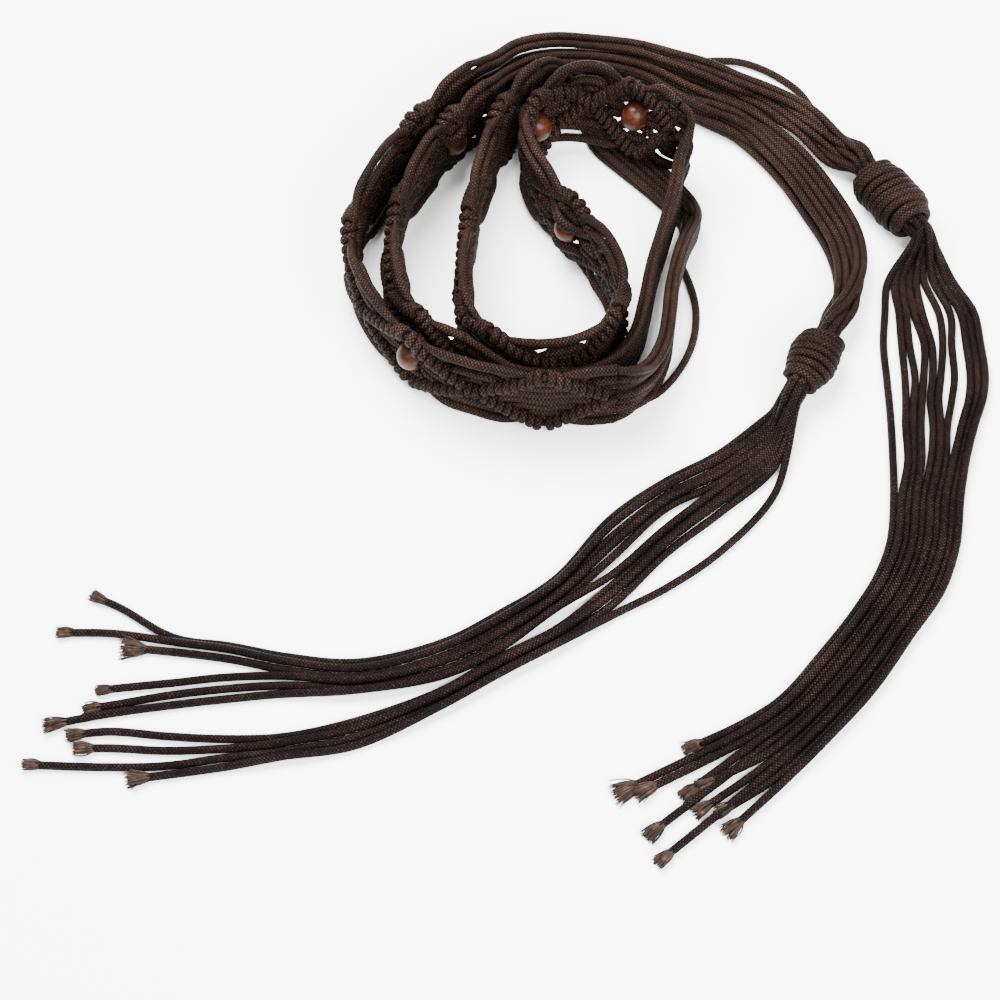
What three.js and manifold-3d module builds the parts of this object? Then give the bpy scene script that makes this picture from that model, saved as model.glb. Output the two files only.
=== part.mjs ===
// Rope belt of dark waxed cord with wooden beads, lying loosely coiled.
// Ten cords run from end to end: two plain tails, an overhand knot at the head of each, a pierced
// band of knotted diamonds and plain stretches between. Millimetres, +Z up, the floor at z = 0.
import * as THREE from 'three';
import { mergeVertices } from 'three/addons/utils/BufferGeometryUtils.js';
import Module from 'manifold-3d';

const wasm = await Module();
wasm.setup();

// Driving dimensions
const CORD = 3; // one round braided cord
const CORDS = 10; // cords in the belt
const CLEAR = 0.3; // gap kept between pieces that touch
const BAND_WIDTH = 38; // band, foot edge to top edge
const BAR_HALF = 3.2; // half the thickness of a row of half hitches
const FLANK_HALF = 1.4; // half the thickness beside such a row
const BEAD_RADIUS = 6.1;
const BEAD_LENGTH = 10;
const BEAD_CORE = 2; // the pair of cords that carries a bead
const BEAD_SIDES = 10;
const BEAD_RIM = 0.45; // flat ring round the hole of a bead
const TAIL_CORD_HALF = 1.35; // a tail's cord, clear of its neighbour
const FRAY = 1.7; // a frayed end against its cord

// Surface looks
const CORD_LOOK = { color: '#3b2b29', roughness: 0.8, metalness: 0 };
const PLAIN_LOOK = { color: '#443330', roughness: 0.8, metalness: 0 };
const BEAD_LOOK = { color: '#7a3a1c', roughness: 0.3, metalness: 0 };

// Routes of the band: the top edge and the foot edge in plan, how wide the cords at the edge
// spread to each side, in cords, and how high the foot edge is held by cords that pass below
const BAND_COLUMNS = ['topX', 'topY', 'footX', 'footY', 'spread', 'lift'];
const CENTRE_ROUTE = [
  [68.5, 149.8, 67.2, 146.8, 1.2, 4.6],
  [61.5, 158, 61.7, 147.4, 1.3, 6.6],
  [51.5, 162, 54, 149, 1.4, 6.6],
  [43.5, 166.5, 44.8, 154, 1.4, 6.6],
  [34, 169.5, 35.9, 157.8, 1.4, 6.6],
  [24.5, 168, 26.6, 160, 1.3, 5],
  [17, 163.5, 18, 157.7, 1.2, 1],
  [11.4, 155.5, 13, 151.5, 1.2, 0],
  [8.6, 145, 10, 142, 1.2, 0],
  [12, 132, 11.5, 131, 1.3, 0],
  [18, 121, 16.5, 120, 1.4, 0],
  [26, 110, 24, 109, 1.4, 0],
  [35, 98, 33, 97, 1.4, 0],
  [42, 85, 40.5, 84, 1.4, 0],
  [44.5, 71, 43.5, 71, 1.3, 0],
  [40, 58, 40, 60, 1.2, 0],
  [31, 49, 31, 51, 1.1, 0],
  [18, 45, 18, 46.5, 1.1, 0],
  [6, 47, 6, 48.5, 1.1, 0],
  [-4, 53, -4, 54, 1.2, 0],
  [-10.5, 62, -11, 62.5, 1.3, 0],
  [-12.5, 74, -13.5, 74, 1.4, 0],
  [-12, 87, -13.5, 87, 1.5, 0],
  [-11, 100, -12.5, 100, 1.5, 0],
  [-9.5, 113, -10.5, 113, 1.4, 0],
  [-7, 126, -7.5, 125.5, 1.4, 0],
  [-4, 138, -4, 137, 1.3, 0],
  [-1.2, 148.5, -0.5, 146.5, 1.2, 0],
  [3, 157.5, 4.5, 154, 1.2, 0],
  [8, 165.5, 9, 161.5, 1.1, 0],
  [15.6, 172.4, 15.4, 170.8, 1.1, 0],
];
const OUTER_ROUTE = [
  [42, 34, 42, 34.5, 1.1, 0],
  [30, 33, 30, 33, 1.1, 0],
  [17, 32.5, 17, 31.5, 1.1, 0],
  [3, 33.5, 3, 34, 1.1, 0],
  [-9, 36, -9, 38, 1.2, 0],
  [-21, 41, -20.5, 42.5, 1.2, 0],
  [-33, 50, -32.5, 51.5, 1.2, 0],
  [-43, 61, -42, 63, 1.4, 0],
  [-50, 73, -49, 74, 1.4, 0],
  [-54, 86, -53.5, 86, 1.4, 0],
  [-55, 99, -55, 98.5, 1.4, 0],
  [-52, 112, -52, 111, 1.4, 0],
  [-47, 124, -46, 122.5, 1.4, 0],
  [-41, 135, -40.5, 134.5, 1.3, 0],
  [-34, 145.5, -33.5, 145, 1.2, 0],
  [-26, 155, -25.5, 154.5, 1.1, 0],
  [-19.5, 164, -19, 163.5, 1.1, 0],
  [-11, 171.3, -10.5, 170.8, 1.1, 0],
];
const MIDDLE_ROUTE = [
  [-12, 47.5, -13, 48, 1.1, 0],
  [-20, 52, -20.5, 53, 1.1, 0],
  [-28, 59, -29, 60.5, 1.2, 0],
  [-34, 68.5, -36, 70, 1.3, 0],
  [-37, 80, -40.5, 81, 1.4, 0],
  [-38, 93, -42, 94, 1.4, 0],
  [-37, 106, -41, 107, 1.4, 0],
  [-33.5, 119, -37, 120.5, 1.4, 0],
  [-28.5, 131.5, -30.5, 132.5, 1.3, 0],
  [-22, 143, -23, 144, 1.2, 0],
  [-14, 153.5, -15, 154.5, 1.1, 0],
  [-4.8, 162.3, -6.3, 163, 1.1, 0],
];

// Plain stretches and loose bundles: the middle line in plan, then its height and its half
// width and half height in cords
const BUNDLE_COLUMNS = ['x', 'y', 'rise', 'wide', 'tall'];
const INNER_GAP = [
  [71.3, 142, 6.9, 0.75, 4.9],
  [68.2, 134, 6.4, 0.75, 4.1],
  [66, 121, 6.1, 0.85, 3.8],
  [61.8, 106, 5, 1.05, 4.2],
  [57.3, 91, 4.4, 1.2, 3.9],
  [54, 75, 4.2, 1.3, 3.7],
  [50.5, 61, 4.1, 1.2, 3.7],
  [44, 50, 4.2, 0.9, 3.8],
  [33, 41.8, 4.4, 0.55, 4.1],
  [18, 39.6, 4.4, 0.5, 4.1],
  [4, 40.8, 4.6, 0.5, 4.3],
];
const OUTER_GAP = [
  [24.5, 178, 5.2, 0.95, 4.6],
  [31, 175.5, 3.7, 1.5, 3.2],
  [37, 169.5, 1.7, 2, 1.4],
  [42, 160.6, 1.05, 2.5, 0.95],
  [49.5, 152.3, 1.05, 2.5, 0.95],
  [57, 144.5, 1.05, 2.4, 0.95],
  [64, 136.5, 1.05, 2.2, 0.95],
  [70.3, 128, 1.1, 2, 1],
  [73, 117, 2.4, 1.3, 2.1],
  [68.6, 101, 4, 1.15, 3.5],
  [64.7, 85, 3.9, 1.3, 3.4],
  [62.8, 69, 3.9, 1.35, 3.4],
  [60.5, 56, 4, 1.25, 3.5],
  [55, 44, 4.3, 1, 3.8],
];
const OUTER_LOOSE = [
  [-1.5, 179.5, 5.7, 1, 5.1],
  [7, 188, 5.3, 1.05, 4.7],
  [20.5, 193.5, 4.8, 1.15, 4.2],
  [38, 194.5, 4.3, 1.2, 3.7],
  [54, 193.5, 4, 1.25, 3.4],
  [67.5, 190, 3.7, 1.3, 3],
  [80, 186.5, 3.3, 1.6, 2.6],
  [92, 181.3, 2.9, 1.8, 2.1],
  [106.5, 174.3, 2.6, 2.1, 1.9],
  [119.5, 164.5, 2.6, 2.4, 1.8],
  [131.5, 151.5, 2.8, 2.4, 1.9],
];
const INNER_LOOSE = [
  [4.5, 175.5, 5.2, 0.9, 4.6],
  [14.5, 183, 4.8, 0.95, 4.1],
  [28, 186.3, 4.4, 1, 3.7],
  [43.5, 186.6, 4, 1.05, 3.3],
  [58, 183.5, 3.6, 1.1, 2.9],
  [70.5, 177, 3.2, 1.3, 2.5],
  [83, 171, 2.8, 1.7, 2],
  [95.5, 165, 2.3, 2.1, 1.7],
  [107.5, 153.5, 2, 2.6, 1.4],
  [115.5, 142.5, 1.9, 3, 1.4],
  [122.8, 129, 1.9, 3.2, 1.4],
  [130.5, 111.5, 2, 3, 1.5],
  [132.5, 97, 2.1, 2.7, 1.6],
  [129.5, 81.5, 2.5, 2.2, 1.9],
];

// Turns of a knot: how far along it a turn lies, its half width on the outside and half its
// length along the knot, in cords, and how far it leans, in degrees
const KNOT_COLUMNS = ['along', 'reach', 'half', 'lean'];
const OUTER_KNOT_TURNS = [
  [-3.9, 2.9, 0.8, -6],
  [-2, 3.7, 0.95, -16],
  [0.3, 3.5, 0.95, -16],
  [2.3, 3.6, 0.95, -12],
  [4.2, 2.8, 0.8, -6],
];
const INNER_KNOT_TURNS = [
  [-3, 2.9, 0.8, 8],
  [-1.2, 3.3, 0.85, 5],
  [0.7, 3.2, 0.85, -3],
  [3.1, 2.4, 0.7, 0],
];
const OUTER_KNOT = { from: [141.5, 141], to: [158.3, 114] };
const INNER_KNOT = { from: [122.3, 66.5], to: [108.5, 40.5] };
const GROOVE = 0.8; // a knot between two turns, against the turns
const KNOT_REST = 0.15; // a knot over the floor, so that its turns stay round
const KNOT_CORE = 1.9; // half width of the cords through a knot, in cords

// Left tail: where each of the ten cords lies (y) at each station (x), then its end
const LEFT_STATIONS = [
  [100, [35.5, 32, 29, 26, 23, 20.5, 18, 15.5, 12.5, 2]],
  [80, [18.5, 15.5, 12.5, 9.5, 6.5, 3.5, 0.5, -2.5, -6, -21.5]],
  [60, [6.7, 3.7, 0.7, -2, -4.5, -13.5, -16.3, -19.3, -22.7, -36.7]],
  [40, [-8.7, -12.5, -16.5, -20.5, -25, -32.5, -36, -40, -43.8, -48]],
  [20, [-33.3, -36, -38.8, -41.5, -44, -46.3, -53.5, -56, -58.2, -60.5]],
  [0, [-47.3, -50.2, -53, -56, -59, -62, -64.8, -67.3, -69.7, -72]],
  [-20, [-58.8, -61.5, -64.3, -67, -69.8, -72.5, -77.5, -79.8, -82, -84.3]],
  [-50, [-66.7, -69.5, -72.3, -74.5, -76.5, -78.5, -89.5, -92.5, -95.6, -98.8]],
  [-75, [-64.5, -67, -69.7, -72.5, -75.7, -79, -95.5, -98.3, -101, -103.6]],
  [-95, [-60.3, -62.6, -65.5, -72.5, -77, -81, -96.3, -100, -103.5, -107]],
  [-115, [-57, -59.5, -62.7, -74.8, -79.5, -83.5, -95.3, -100.8, -106.5, -110]],
  [-135, [-45, -55.5, null, -77, -83.3, -86.5, -93.5, -99.8, -107, null]],
];
const LEFT_ENDS = [
  [-146, -40], [-157, -55], [-131, -61], [-142, -78], [-145.5, -85],
  [-157, -91], [-150, -95], [-147, -100], [-165, -106], [-127, -111.5],
];

// Right tail: where each cord lies (x) at each station (y), the edge lines of the part below
// where the cords run evenly side by side, and the ends
const RIGHT_STATIONS = [
  [95, [147.5, 150.2, 152.8, 155.4, 158.2, 161.2, 164.6, 167.6, 170, 172.2]],
  [80, [145.3, 150.5, 153.4, 156.4, 159.6, 165.8, 170, 173.5, 176.2, 178.6]],
  [66, [143.8, 150.6, 153.6, 159, 162, 166, 169.4, 174.6, 177.4, 180]],
  [52, [144, 150.8, 154.6, 157.8, 161.2, 164.2, 169.3, 175, 177.9, 180.6]],
  [42, [144.2, 150.4, 153.4, 156.4, 159.6, 162.6, 167.5, 173.6, 176.4, 179]],
  [30, [144.2, 149.4, 152.3, 155, 159.6, 162.2, 164.8, 169.8, 172.4, 174.8]],
  [15, [143.8, 149, 151.6, 154, 157.6, 160.4, 163, 165.6, 168, 170.4]],
];
const EDGE_COLUMNS = ['leftX', 'leftY', 'rightX', 'rightY'];
const RIGHT_EDGES = [
  [143, 0, 167.2, 0],
  [140.5, -18, 163.8, -21],
  [135, -32, 157, -39],
  [126, -46.5, 145, -56.5],
  [113, -63.5, 130, -78],
  [98, -81, 112, -98],
  [84, -90.5, 97.5, -112.5],
];
const RIGHT_ENDS = [
  [64, -100.5], [41, -116.5], [47.5, -117], [62, -118], [50, -132.5],
  [67, -114.5], [66.5, -124.5], [53, -142.5], [73.5, -125], [77, -131.5],
];

// Where the diamonds of each stretch of band meet, along it, and which of them carry a bead
const CENTRE_CROSSINGS = [36, 87, 142, 190, 245, 300];
const OUTER_CROSSINGS = [52, 106, 160];
const MIDDLE_CROSSINGS = [41, 98];
const CENTRE_BEADS = [0, 1, 2];
const OUTER_BEADS = [1];
const MIDDLE_BEADS = [2];

const table = (columns, rows) =>
  rows.map((row) => Object.fromEntries(columns.map((column, at) => [column, row[at]])));

const smoothCurve = (points) => new THREE.CatmullRomCurve3(points, false, 'centripetal');

// Closed meshes and their joins
function closedGeometry(points, triangles) {
  const geometry = new THREE.BufferGeometry().setFromPoints(points);
  geometry.setIndex(triangles.flat());
  return geometry;
}

function loft(rings) {
  const sides = rings[0].length;
  const triangles = [];
  for (let ring = 0; ring + 1 < rings.length; ring++) {
    for (let side = 0; side < sides; side++) {
      const a = ring * sides + side;
      const b = ring * sides + ((side + 1) % sides);
      triangles.push([a, b, a + sides], [b, b + sides, a + sides]);
    }
  }
  const last = (rings.length - 1) * sides;
  for (let side = 1; side + 1 < sides; side++) {
    triangles.push([0, side + 1, side], [last, last + side, last + side + 1]);
  }
  return closedGeometry(rings.flat(), triangles);
}

function toSolid(geometry) {
  const bare = geometry.clone();
  bare.deleteAttribute('normal');
  bare.deleteAttribute('uv');
  const merged = mergeVertices(bare, 1e-4);
  return new wasm.Manifold(new wasm.Mesh({
    numProp: 3,
    vertProperties: new Float32Array(merged.attributes.position.array),
    triVerts: new Uint32Array(merged.index.array),
  }));
}

function fuse(geometries) {
  const joined = geometries.map(toSolid).reduce((whole, solid) => whole.add(solid));
  const mesh = joined.getMesh();
  const geometry = new THREE.BufferGeometry();
  geometry.setAttribute('position', new THREE.BufferAttribute(mesh.vertProperties, 3));
  geometry.setIndex(new THREE.BufferAttribute(mesh.triVerts, 1));
  return geometry;
}

// A band standing on its foot edge, on a grid of cells that fits its diamonds: place(column,
// across, out) gives the point at a column of the grid, up from the foot edge and out to the left
const CELLS = 8; // columns of a diamond, and rows of the band
const HALF = CELLS / 2;
const ROW_STEPS = 12; // straight pieces of a route from row to row
const HEADING_SHARE = 0.004; // share of a route that its heading is taken over, to each side

function bandRoute(rows, crossings) {
  const sections = table(BAND_COLUMNS, rows);
  const tops = smoothCurve(sections.map((row) => new THREE.Vector3(row.topX, row.topY, row.spread)));
  const feet = smoothCurve(sections.map((row) => new THREE.Vector3(row.footX, row.footY, row.lift)));
  const steps = sections.length * ROW_STEPS;
  const middle = (share) =>
    tops.getPoint(share).add(feet.getPoint(share)).multiplyScalar(0.5).setZ(0);
  const reached = [0];
  for (let step = 1; step <= steps; step++) {
    reached.push(reached[step - 1] + middle(step / steps).distanceTo(middle((step - 1) / steps)));
  }
  const marks = [0, ...crossings, reached[steps]];
  const diamonds = crossings.length + 1;
  const shareAt = (column) => {
    const diamond = Math.min(Math.floor(column / CELLS), diamonds - 1);
    const wanted = THREE.MathUtils.lerp(marks[diamond], marks[diamond + 1], column / CELLS - diamond);
    const step = Math.min(reached.findLastIndex((mark) => mark <= wanted), steps - 1);
    return (step + (wanted - reached[step]) / (reached[step + 1] - reached[step])) / steps;
  };
  const heading = (column) => {
    const share = shareAt(column);
    const before = middle(Math.max(share - HEADING_SHARE, 0));
    return middle(Math.min(share + HEADING_SHARE, 1)).sub(before).normalize();
  };
  const place = (column, across, out) => {
    const share = shareAt(column);
    const foot = feet.getPoint(share);
    const lift = Math.max(foot.z, 0);
    const top = tops.getPoint(share).setZ(0);
    foot.setZ(0);
    const ahead = heading(column);
    const left = new THREE.Vector3(-ahead.y, ahead.x, 0);
    const height = Math.sqrt(BAND_WIDTH ** 2 - top.distanceToSquared(foot));
    const point = foot.clone().lerp(top, across / BAND_WIDTH).addScaledVector(left, out);
    return point.setZ(lift + (height * across) / BAND_WIDTH);
  };
  const spreadAt = (column) => tops.getPoint(shareAt(column)).z * CORD;
  return { diamonds, heading, place, spreadAt };
}

// The knotted net of a band, on a grid of square cells: rows of half hitches run along the
// cells' diagonals as diamonds, open inside, with the edge cords bridging from diamond to diamond
const fromNode = (x, y) => Math.abs(((x % CELLS) + CELLS) % CELLS - HALF) + Math.abs(y - HALF);

function halfThickness(column, row, spread) {
  const fromCentre = Math.abs(row - HALF);
  const nodeShare = 1 - Math.abs((column % CELLS) - HALF) / HALF;
  const edge = THREE.MathUtils.lerp(spread, BAR_HALF + CLEAR, nodeShare);
  if (fromCentre === HALF) return edge;
  if (fromNode(column, row) === HALF) return BAR_HALF;
  return fromCentre === HALF - 1 ? Math.max(edge / 2, FLANK_HALF) : FLANK_HALF;
}

function isOpen(corners) {
  const x = (corners[0][0] + corners[1][0] + corners[2][0]) / 3;
  const y = (corners[0][1] + corners[1][1] + corners[2][1]) / 3;
  const level = fromNode(x, y);
  return level < HALF - 1 || (level > HALF + 1 && Math.abs(y - HALF) < HALF - 1);
}

function netTriangles(columns) {
  const kept = [];
  for (let x = 0; x < columns; x++) {
    for (let y = 0; y < CELLS; y++) {
      const rising = ((x % CELLS) < HALF) === (y >= HALF);
      const cell = rising
        ? [[[x, y], [x + 1, y], [x + 1, y + 1]], [[x, y], [x + 1, y + 1], [x, y + 1]]]
        : [[[x, y], [x + 1, y], [x, y + 1]], [[x + 1, y], [x + 1, y + 1], [x, y + 1]]];
      kept.push(...cell.filter((corners) => !isOpen(corners)));
    }
  }
  return kept;
}

function netGeometry(route) {
  const points = [];
  const numbers = new Map();
  const vertex = ([x, y], side) => {
    const key = `${x},${y},${side}`;
    if (!numbers.has(key)) {
      numbers.set(key, points.length);
      const half = halfThickness(x, y, route.spreadAt(x));
      points.push(route.place(x, (y * BAND_WIDTH) / CELLS, side * half));
    }
    return numbers.get(key);
  };
  const triangles = [];
  const edges = new Map();
  for (const [a, b, c] of netTriangles(route.diamonds * CELLS)) {
    triangles.push([vertex(a, 1), vertex(c, 1), vertex(b, 1)]);
    triangles.push([vertex(a, -1), vertex(b, -1), vertex(c, -1)]);
    for (const [from, to] of [[a, b], [b, c], [c, a]]) {
      const back = `${to}|${from}`;
      if (edges.has(back)) edges.delete(back);
      else edges.set(`${from}|${to}`, [from, to]);
    }
  }
  for (const [from, to] of edges.values()) {
    triangles.push([vertex(from, 1), vertex(to, 1), vertex(to, -1)]);
    triangles.push([vertex(from, 1), vertex(to, -1), vertex(from, -1)]);
  }
  return closedGeometry(points, triangles);
}

// The pair of cords down the middle of a band, straight where a bead can sit
const CORE_SIDES = 5;
const BEAD_SEAT = 1; // cells to each side of a diamond's middle
const SHOULDER_STEPS = 3; // straight pieces of a bead's outline from rim to rim

function coreGeometry(route) {
  const stations = [0];
  for (let diamond = 0; diamond < route.diamonds; diamond++) {
    const middle = diamond * CELLS + HALF;
    stations.push(middle - BEAD_SEAT, middle + BEAD_SEAT, (diamond + 1) * CELLS);
  }
  const corners = Array.from({ length: CORE_SIDES }, (_, side) => (side * 2 * Math.PI) / CORE_SIDES);
  return loft(stations.map((station) => corners.map((angle) =>
    route.place(station, BAND_WIDTH / 2 + BEAD_CORE * Math.sin(angle), BEAD_CORE * Math.cos(angle)))));
}

function beadMesh(route, diamond, name) {
  const bore = (BEAD_CORE + CLEAR) / Math.cos(Math.PI / BEAD_SIDES);
  const half = BEAD_LENGTH / 2;
  const turn = Math.acos((bore + BEAD_RIM) / BEAD_RADIUS);
  const shoulder = new THREE.EllipseCurve(0, 0, BEAD_RADIUS, half / Math.sin(turn), -turn, turn);
  const profile = [new THREE.Vector2(bore, half), new THREE.Vector2(bore, -half)];
  profile.push(...shoulder.getPoints(SHOULDER_STEPS), profile[0].clone());
  const middle = diamond * CELLS + HALF;
  const ends = [middle - BEAD_SEAT, middle + BEAD_SEAT].map((column) =>
    route.place(column, BAND_WIDTH / 2, 0));
  const turned = fuse([new THREE.LatheGeometry(profile, BEAD_SIDES)]);
  const bead = new THREE.Mesh(turned, material(BEAD_LOOK));
  bead.name = name;
  bead.position.copy(ends[0]).lerp(ends[1], 0.5);
  const direction = ends[1].clone().sub(ends[0]).normalize();
  bead.quaternion.setFromUnitVectors(new THREE.Vector3(0, 1, 0), direction);
  return bead;
}

// A thick bundle of plain cords: a ridged section carried along its rows
const RIDGES = 5;
const RIDGE_DEPTH = 0.14;
const LEAD = 5; // how far a bundle keeps the direction of what it leaves
const MOUTH_GAP = 0.6; // a bundle's end before what it leaves, whose face may lean a little
const MOUTH_FILL = 0.9; // a bundle's end against the band that it leaves
const MOUTH_HALF = 0.8; // half width of that end, in cords
const BUNDLE_STEPS = 24; // straight pieces along a bundle

function bandMouth(route, atEnd) {
  const column = atEnd ? route.diamonds * CELLS : 0;
  const middle = route.place(column, BAND_WIDTH / 2, 0);
  const heading = route.heading(column).multiplyScalar(atEnd ? 1 : -1);
  const tall = (BAND_WIDTH / 2 / CORD) * MOUTH_FILL;
  return { middle, heading, rise: middle.z / CORD, wide: MOUTH_HALF, tall };
}

function knotMouth(knot) {
  const middle = new THREE.Vector3(...knot.from, 0);
  const heading = middle.clone().sub(new THREE.Vector3(...knot.to, 0)).normalize();
  return { middle, heading, rise: knot.height / CORD, wide: KNOT_CORE, tall: KNOT_CORE };
}

const leaving = ({ middle, heading, rise, wide, tall }, away) =>
  ({ x: middle.x + heading.x * away, y: middle.y + heading.y * away, rise, wide, tall });

function bundleGeometry(start, rows, end) {
  const sections = [
    leaving(start, MOUTH_GAP), leaving(start, LEAD), ...table(BUNDLE_COLUMNS, rows),
    leaving(end, LEAD), leaving(end, MOUTH_GAP),
  ];
  const line = smoothCurve(sections.map((row) => new THREE.Vector3(row.x, row.y, row.rise * CORD)));
  const sizes = smoothCurve(sections.map((row) =>
    new THREE.Vector3(row.wide * CORD, row.tall * CORD, 0)));
  const rings = [];
  for (let step = 0; step <= BUNDLE_STEPS; step++) {
    const share = step / BUNDLE_STEPS;
    const middle = line.getPoint(share);
    const size = sizes.getPoint(share);
    const ahead = line.getTangent(share);
    const left = new THREE.Vector3(-ahead.y, ahead.x, 0).normalize();
    rings.push(Array.from({ length: 2 * RIDGES }, (_, side) => {
      const angle = ((side + 0.5) * Math.PI) / RIDGES;
      const reach = side % 2 ? 1 : 1 - RIDGE_DEPTH;
      const point = middle.clone().addScaledVector(left, size.x * reach * Math.cos(angle));
      return point.setZ(middle.z + size.y * reach * Math.sin(angle));
    }));
  }
  return loft(rings);
}

// A knot: leaning turns drawn tight round the cords that pass through it
const KNOT_SIDES = 12;
const TURN_CROWN = 0.45; // share of a turn that keeps its full reach

function withHeight(knot, turns) {
  const widest = Math.max(...table(KNOT_COLUMNS, turns).map((turn) => turn.reach));
  return { ...knot, height: widest * CORD + KNOT_REST };
}

function knotGeometry(knot, turns) {
  const from = new THREE.Vector3(...knot.from, knot.height);
  const to = new THREE.Vector3(...knot.to, knot.height);
  const ahead = to.clone().sub(from).normalize();
  const up = new THREE.Vector3(0, 0, 1);
  const middle = from.clone().lerp(to, 0.5);
  const section = (centre, half, lean) => {
    const left = new THREE.Vector3(-ahead.y, ahead.x, 0)
      .applyAxisAngle(up, THREE.MathUtils.degToRad(lean));
    return Array.from({ length: KNOT_SIDES }, (_, side) => {
      const angle = ((side + 0.5) * 2 * Math.PI) / KNOT_SIDES;
      return centre.clone().addScaledVector(left, half * Math.cos(angle))
        .addScaledVector(up, half * Math.sin(angle));
    });
  };
  const wound = table(KNOT_COLUMNS, turns).flatMap((turn) =>
    [[-1, GROOVE], [-TURN_CROWN, 1], [TURN_CROWN, 1], [1, GROOVE]].map(([side, share]) => {
      const centre = middle.clone().addScaledVector(ahead, (turn.along + side * turn.half) * CORD);
      return section(centre, turn.reach * share * CORD, turn.lean);
    }));
  const core = KNOT_CORE * CORD;
  return loft([section(from, core, 0), ...wound, section(to, core, 0)]);
}

// A tail: ten cords fused to the head that leaves the knot, each with a frayed end. Where two
// cords come closer than a cord's width, every second one lies on its neighbours.
const STRAND_SIDES = 5;
const STRAND_STEPS = 10; // straight pieces along a tail's cord
const HEAD_LENGTH = 5;
const HEAD_DROP = 0.25; // how far the head sinks along its length, against the knot's height
const HEAD_FLAT = 0.85; // height of the head against its width
const LOW_START = 0.45; // where the lower cords leave the head, against the knot's height
const HIGH_START = 0.75;

function leftRoutes(exit) {
  return LEFT_ENDS.map(([endX, endY], cord) => {
    const passed = LEFT_STATIONS.filter(([x, row]) => row[cord] !== null && x > endX + CORD);
    return [exit(cord), ...passed.map(([x, row]) => [x, row[cord]]), [endX, endY]];
  });
}

function rightRoutes(exit) {
  const edges = table(EDGE_COLUMNS, RIGHT_EDGES);
  return RIGHT_ENDS.map((end, cord) => {
    const share = cord / (CORDS - 1);
    const above = RIGHT_STATIONS.map(([y, row]) => [row[cord], y]);
    const below = edges.map((edge) => [
      THREE.MathUtils.lerp(edge.leftX, edge.rightX, share),
      THREE.MathUtils.lerp(edge.leftY, edge.rightY, share),
    ]);
    return [exit(cord), ...above, ...below, end];
  });
}

function layCords(routes) {
  return routes.map((route, cord) => route.map(([x, y], at) => {
    const near = [cord - 1, cord + 1].filter((other) => routes[other]).map((other) =>
      Math.min(...routes[other].slice(1).map(([a, b], place, all) => {
        const [c, d] = all[Math.min(place + 1, all.length - 1)];
        const segment = new THREE.Line3(new THREE.Vector3(a, b, 0), new THREE.Vector3(c, d, 0));
        const nearest = segment.closestPointToPoint(new THREE.Vector3(x, y, 0), true, new THREE.Vector3());
        return Math.hypot(nearest.x - x, nearest.y - y);
      })));
    const gap = Math.min(...near, CORD);
    const lift = cord % 2 && at > 0 ? Math.sqrt(CORD ** 2 - gap ** 2) : 0;
    return new THREE.Vector3(x, y, CORD / 2 + lift);
  }));
}

function strandGeometry(points) {
  const curve = smoothCurve(points);
  const rings = [];
  for (let step = 0; step <= STRAND_STEPS; step++) {
    const share = step / STRAND_STEPS;
    const half = TAIL_CORD_HALF * (step === STRAND_STEPS ? FRAY : 1);
    const middle = curve.getPointAt(share);
    const ahead = curve.getTangentAt(share);
    const left = new THREE.Vector3(-ahead.y, ahead.x, 0).normalize();
    const rise = Math.max(middle.z, half);
    rings.push(Array.from({ length: STRAND_SIDES }, (_, side) => {
      const angle = ((side + 0.25) * 2 * Math.PI) / STRAND_SIDES;
      const point = middle.clone().addScaledVector(left, half * Math.cos(angle));
      return point.setZ(rise + half * Math.sin(angle));
    }));
  }
  return loft(rings);
}

function tailGeometry(knot, routesFrom) {
  const from = new THREE.Vector3(...knot.from, 0);
  const to = new THREE.Vector3(...knot.to, 0);
  const ahead = to.clone().sub(from).normalize();
  const left = new THREE.Vector3(-ahead.y, ahead.x, 0);
  const start = to.clone().addScaledVector(ahead, CLEAR);
  const core = KNOT_CORE * CORD;
  const exit = (cord) => {
    const across = (cord / (CORDS - 1) - 0.5) * 2 * (core - CORD / 2);
    const place = start.clone().addScaledVector(ahead, HEAD_LENGTH / 2);
    return [place.x + across, place.y + across * left.y * Math.sign(left.x)];
  };
  const laid = layCords(routesFrom(exit));
  for (const [cord, route] of laid.entries()) {
    route[0].z = knot.height * (cord % 2 ? HIGH_START : LOW_START);
  }
  const ends = [0, 1].map((end) => Array.from({ length: 2 * RIDGES }, (_, side) => {
    const angle = ((side + 0.5) * Math.PI) / RIDGES;
    const centre = start.clone().addScaledVector(ahead, end * HEAD_LENGTH);
    const point = centre.addScaledVector(left, core * Math.cos(angle));
    return point.setZ(knot.height * (1 - HEAD_DROP * end) + core * HEAD_FLAT * Math.sin(angle));
  }));
  return fuse([loft(ends), ...laid.map(strandGeometry)]);
}

const material = (look) => new THREE.MeshStandardMaterial(look);

function addMesh(name, geometry, look) {
  const mesh = new THREE.Mesh(geometry, material(look));
  mesh.name = name;
  belt.add(mesh);
}

function addBand(name, rows, crossings, beads, beadName) {
  const route = bandRoute(rows, crossings);
  addMesh(name, fuse([netGeometry(route), coreGeometry(route)]), CORD_LOOK);
  for (const diamond of beads) {
    belt.add(beadMesh(route, diamond, `${beadName}_${diamond + 1}`));
  }
  return route;
}

function addBundle(name, start, rows, end) {
  addMesh(name, bundleGeometry(start, rows, end), PLAIN_LOOK);
}

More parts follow.
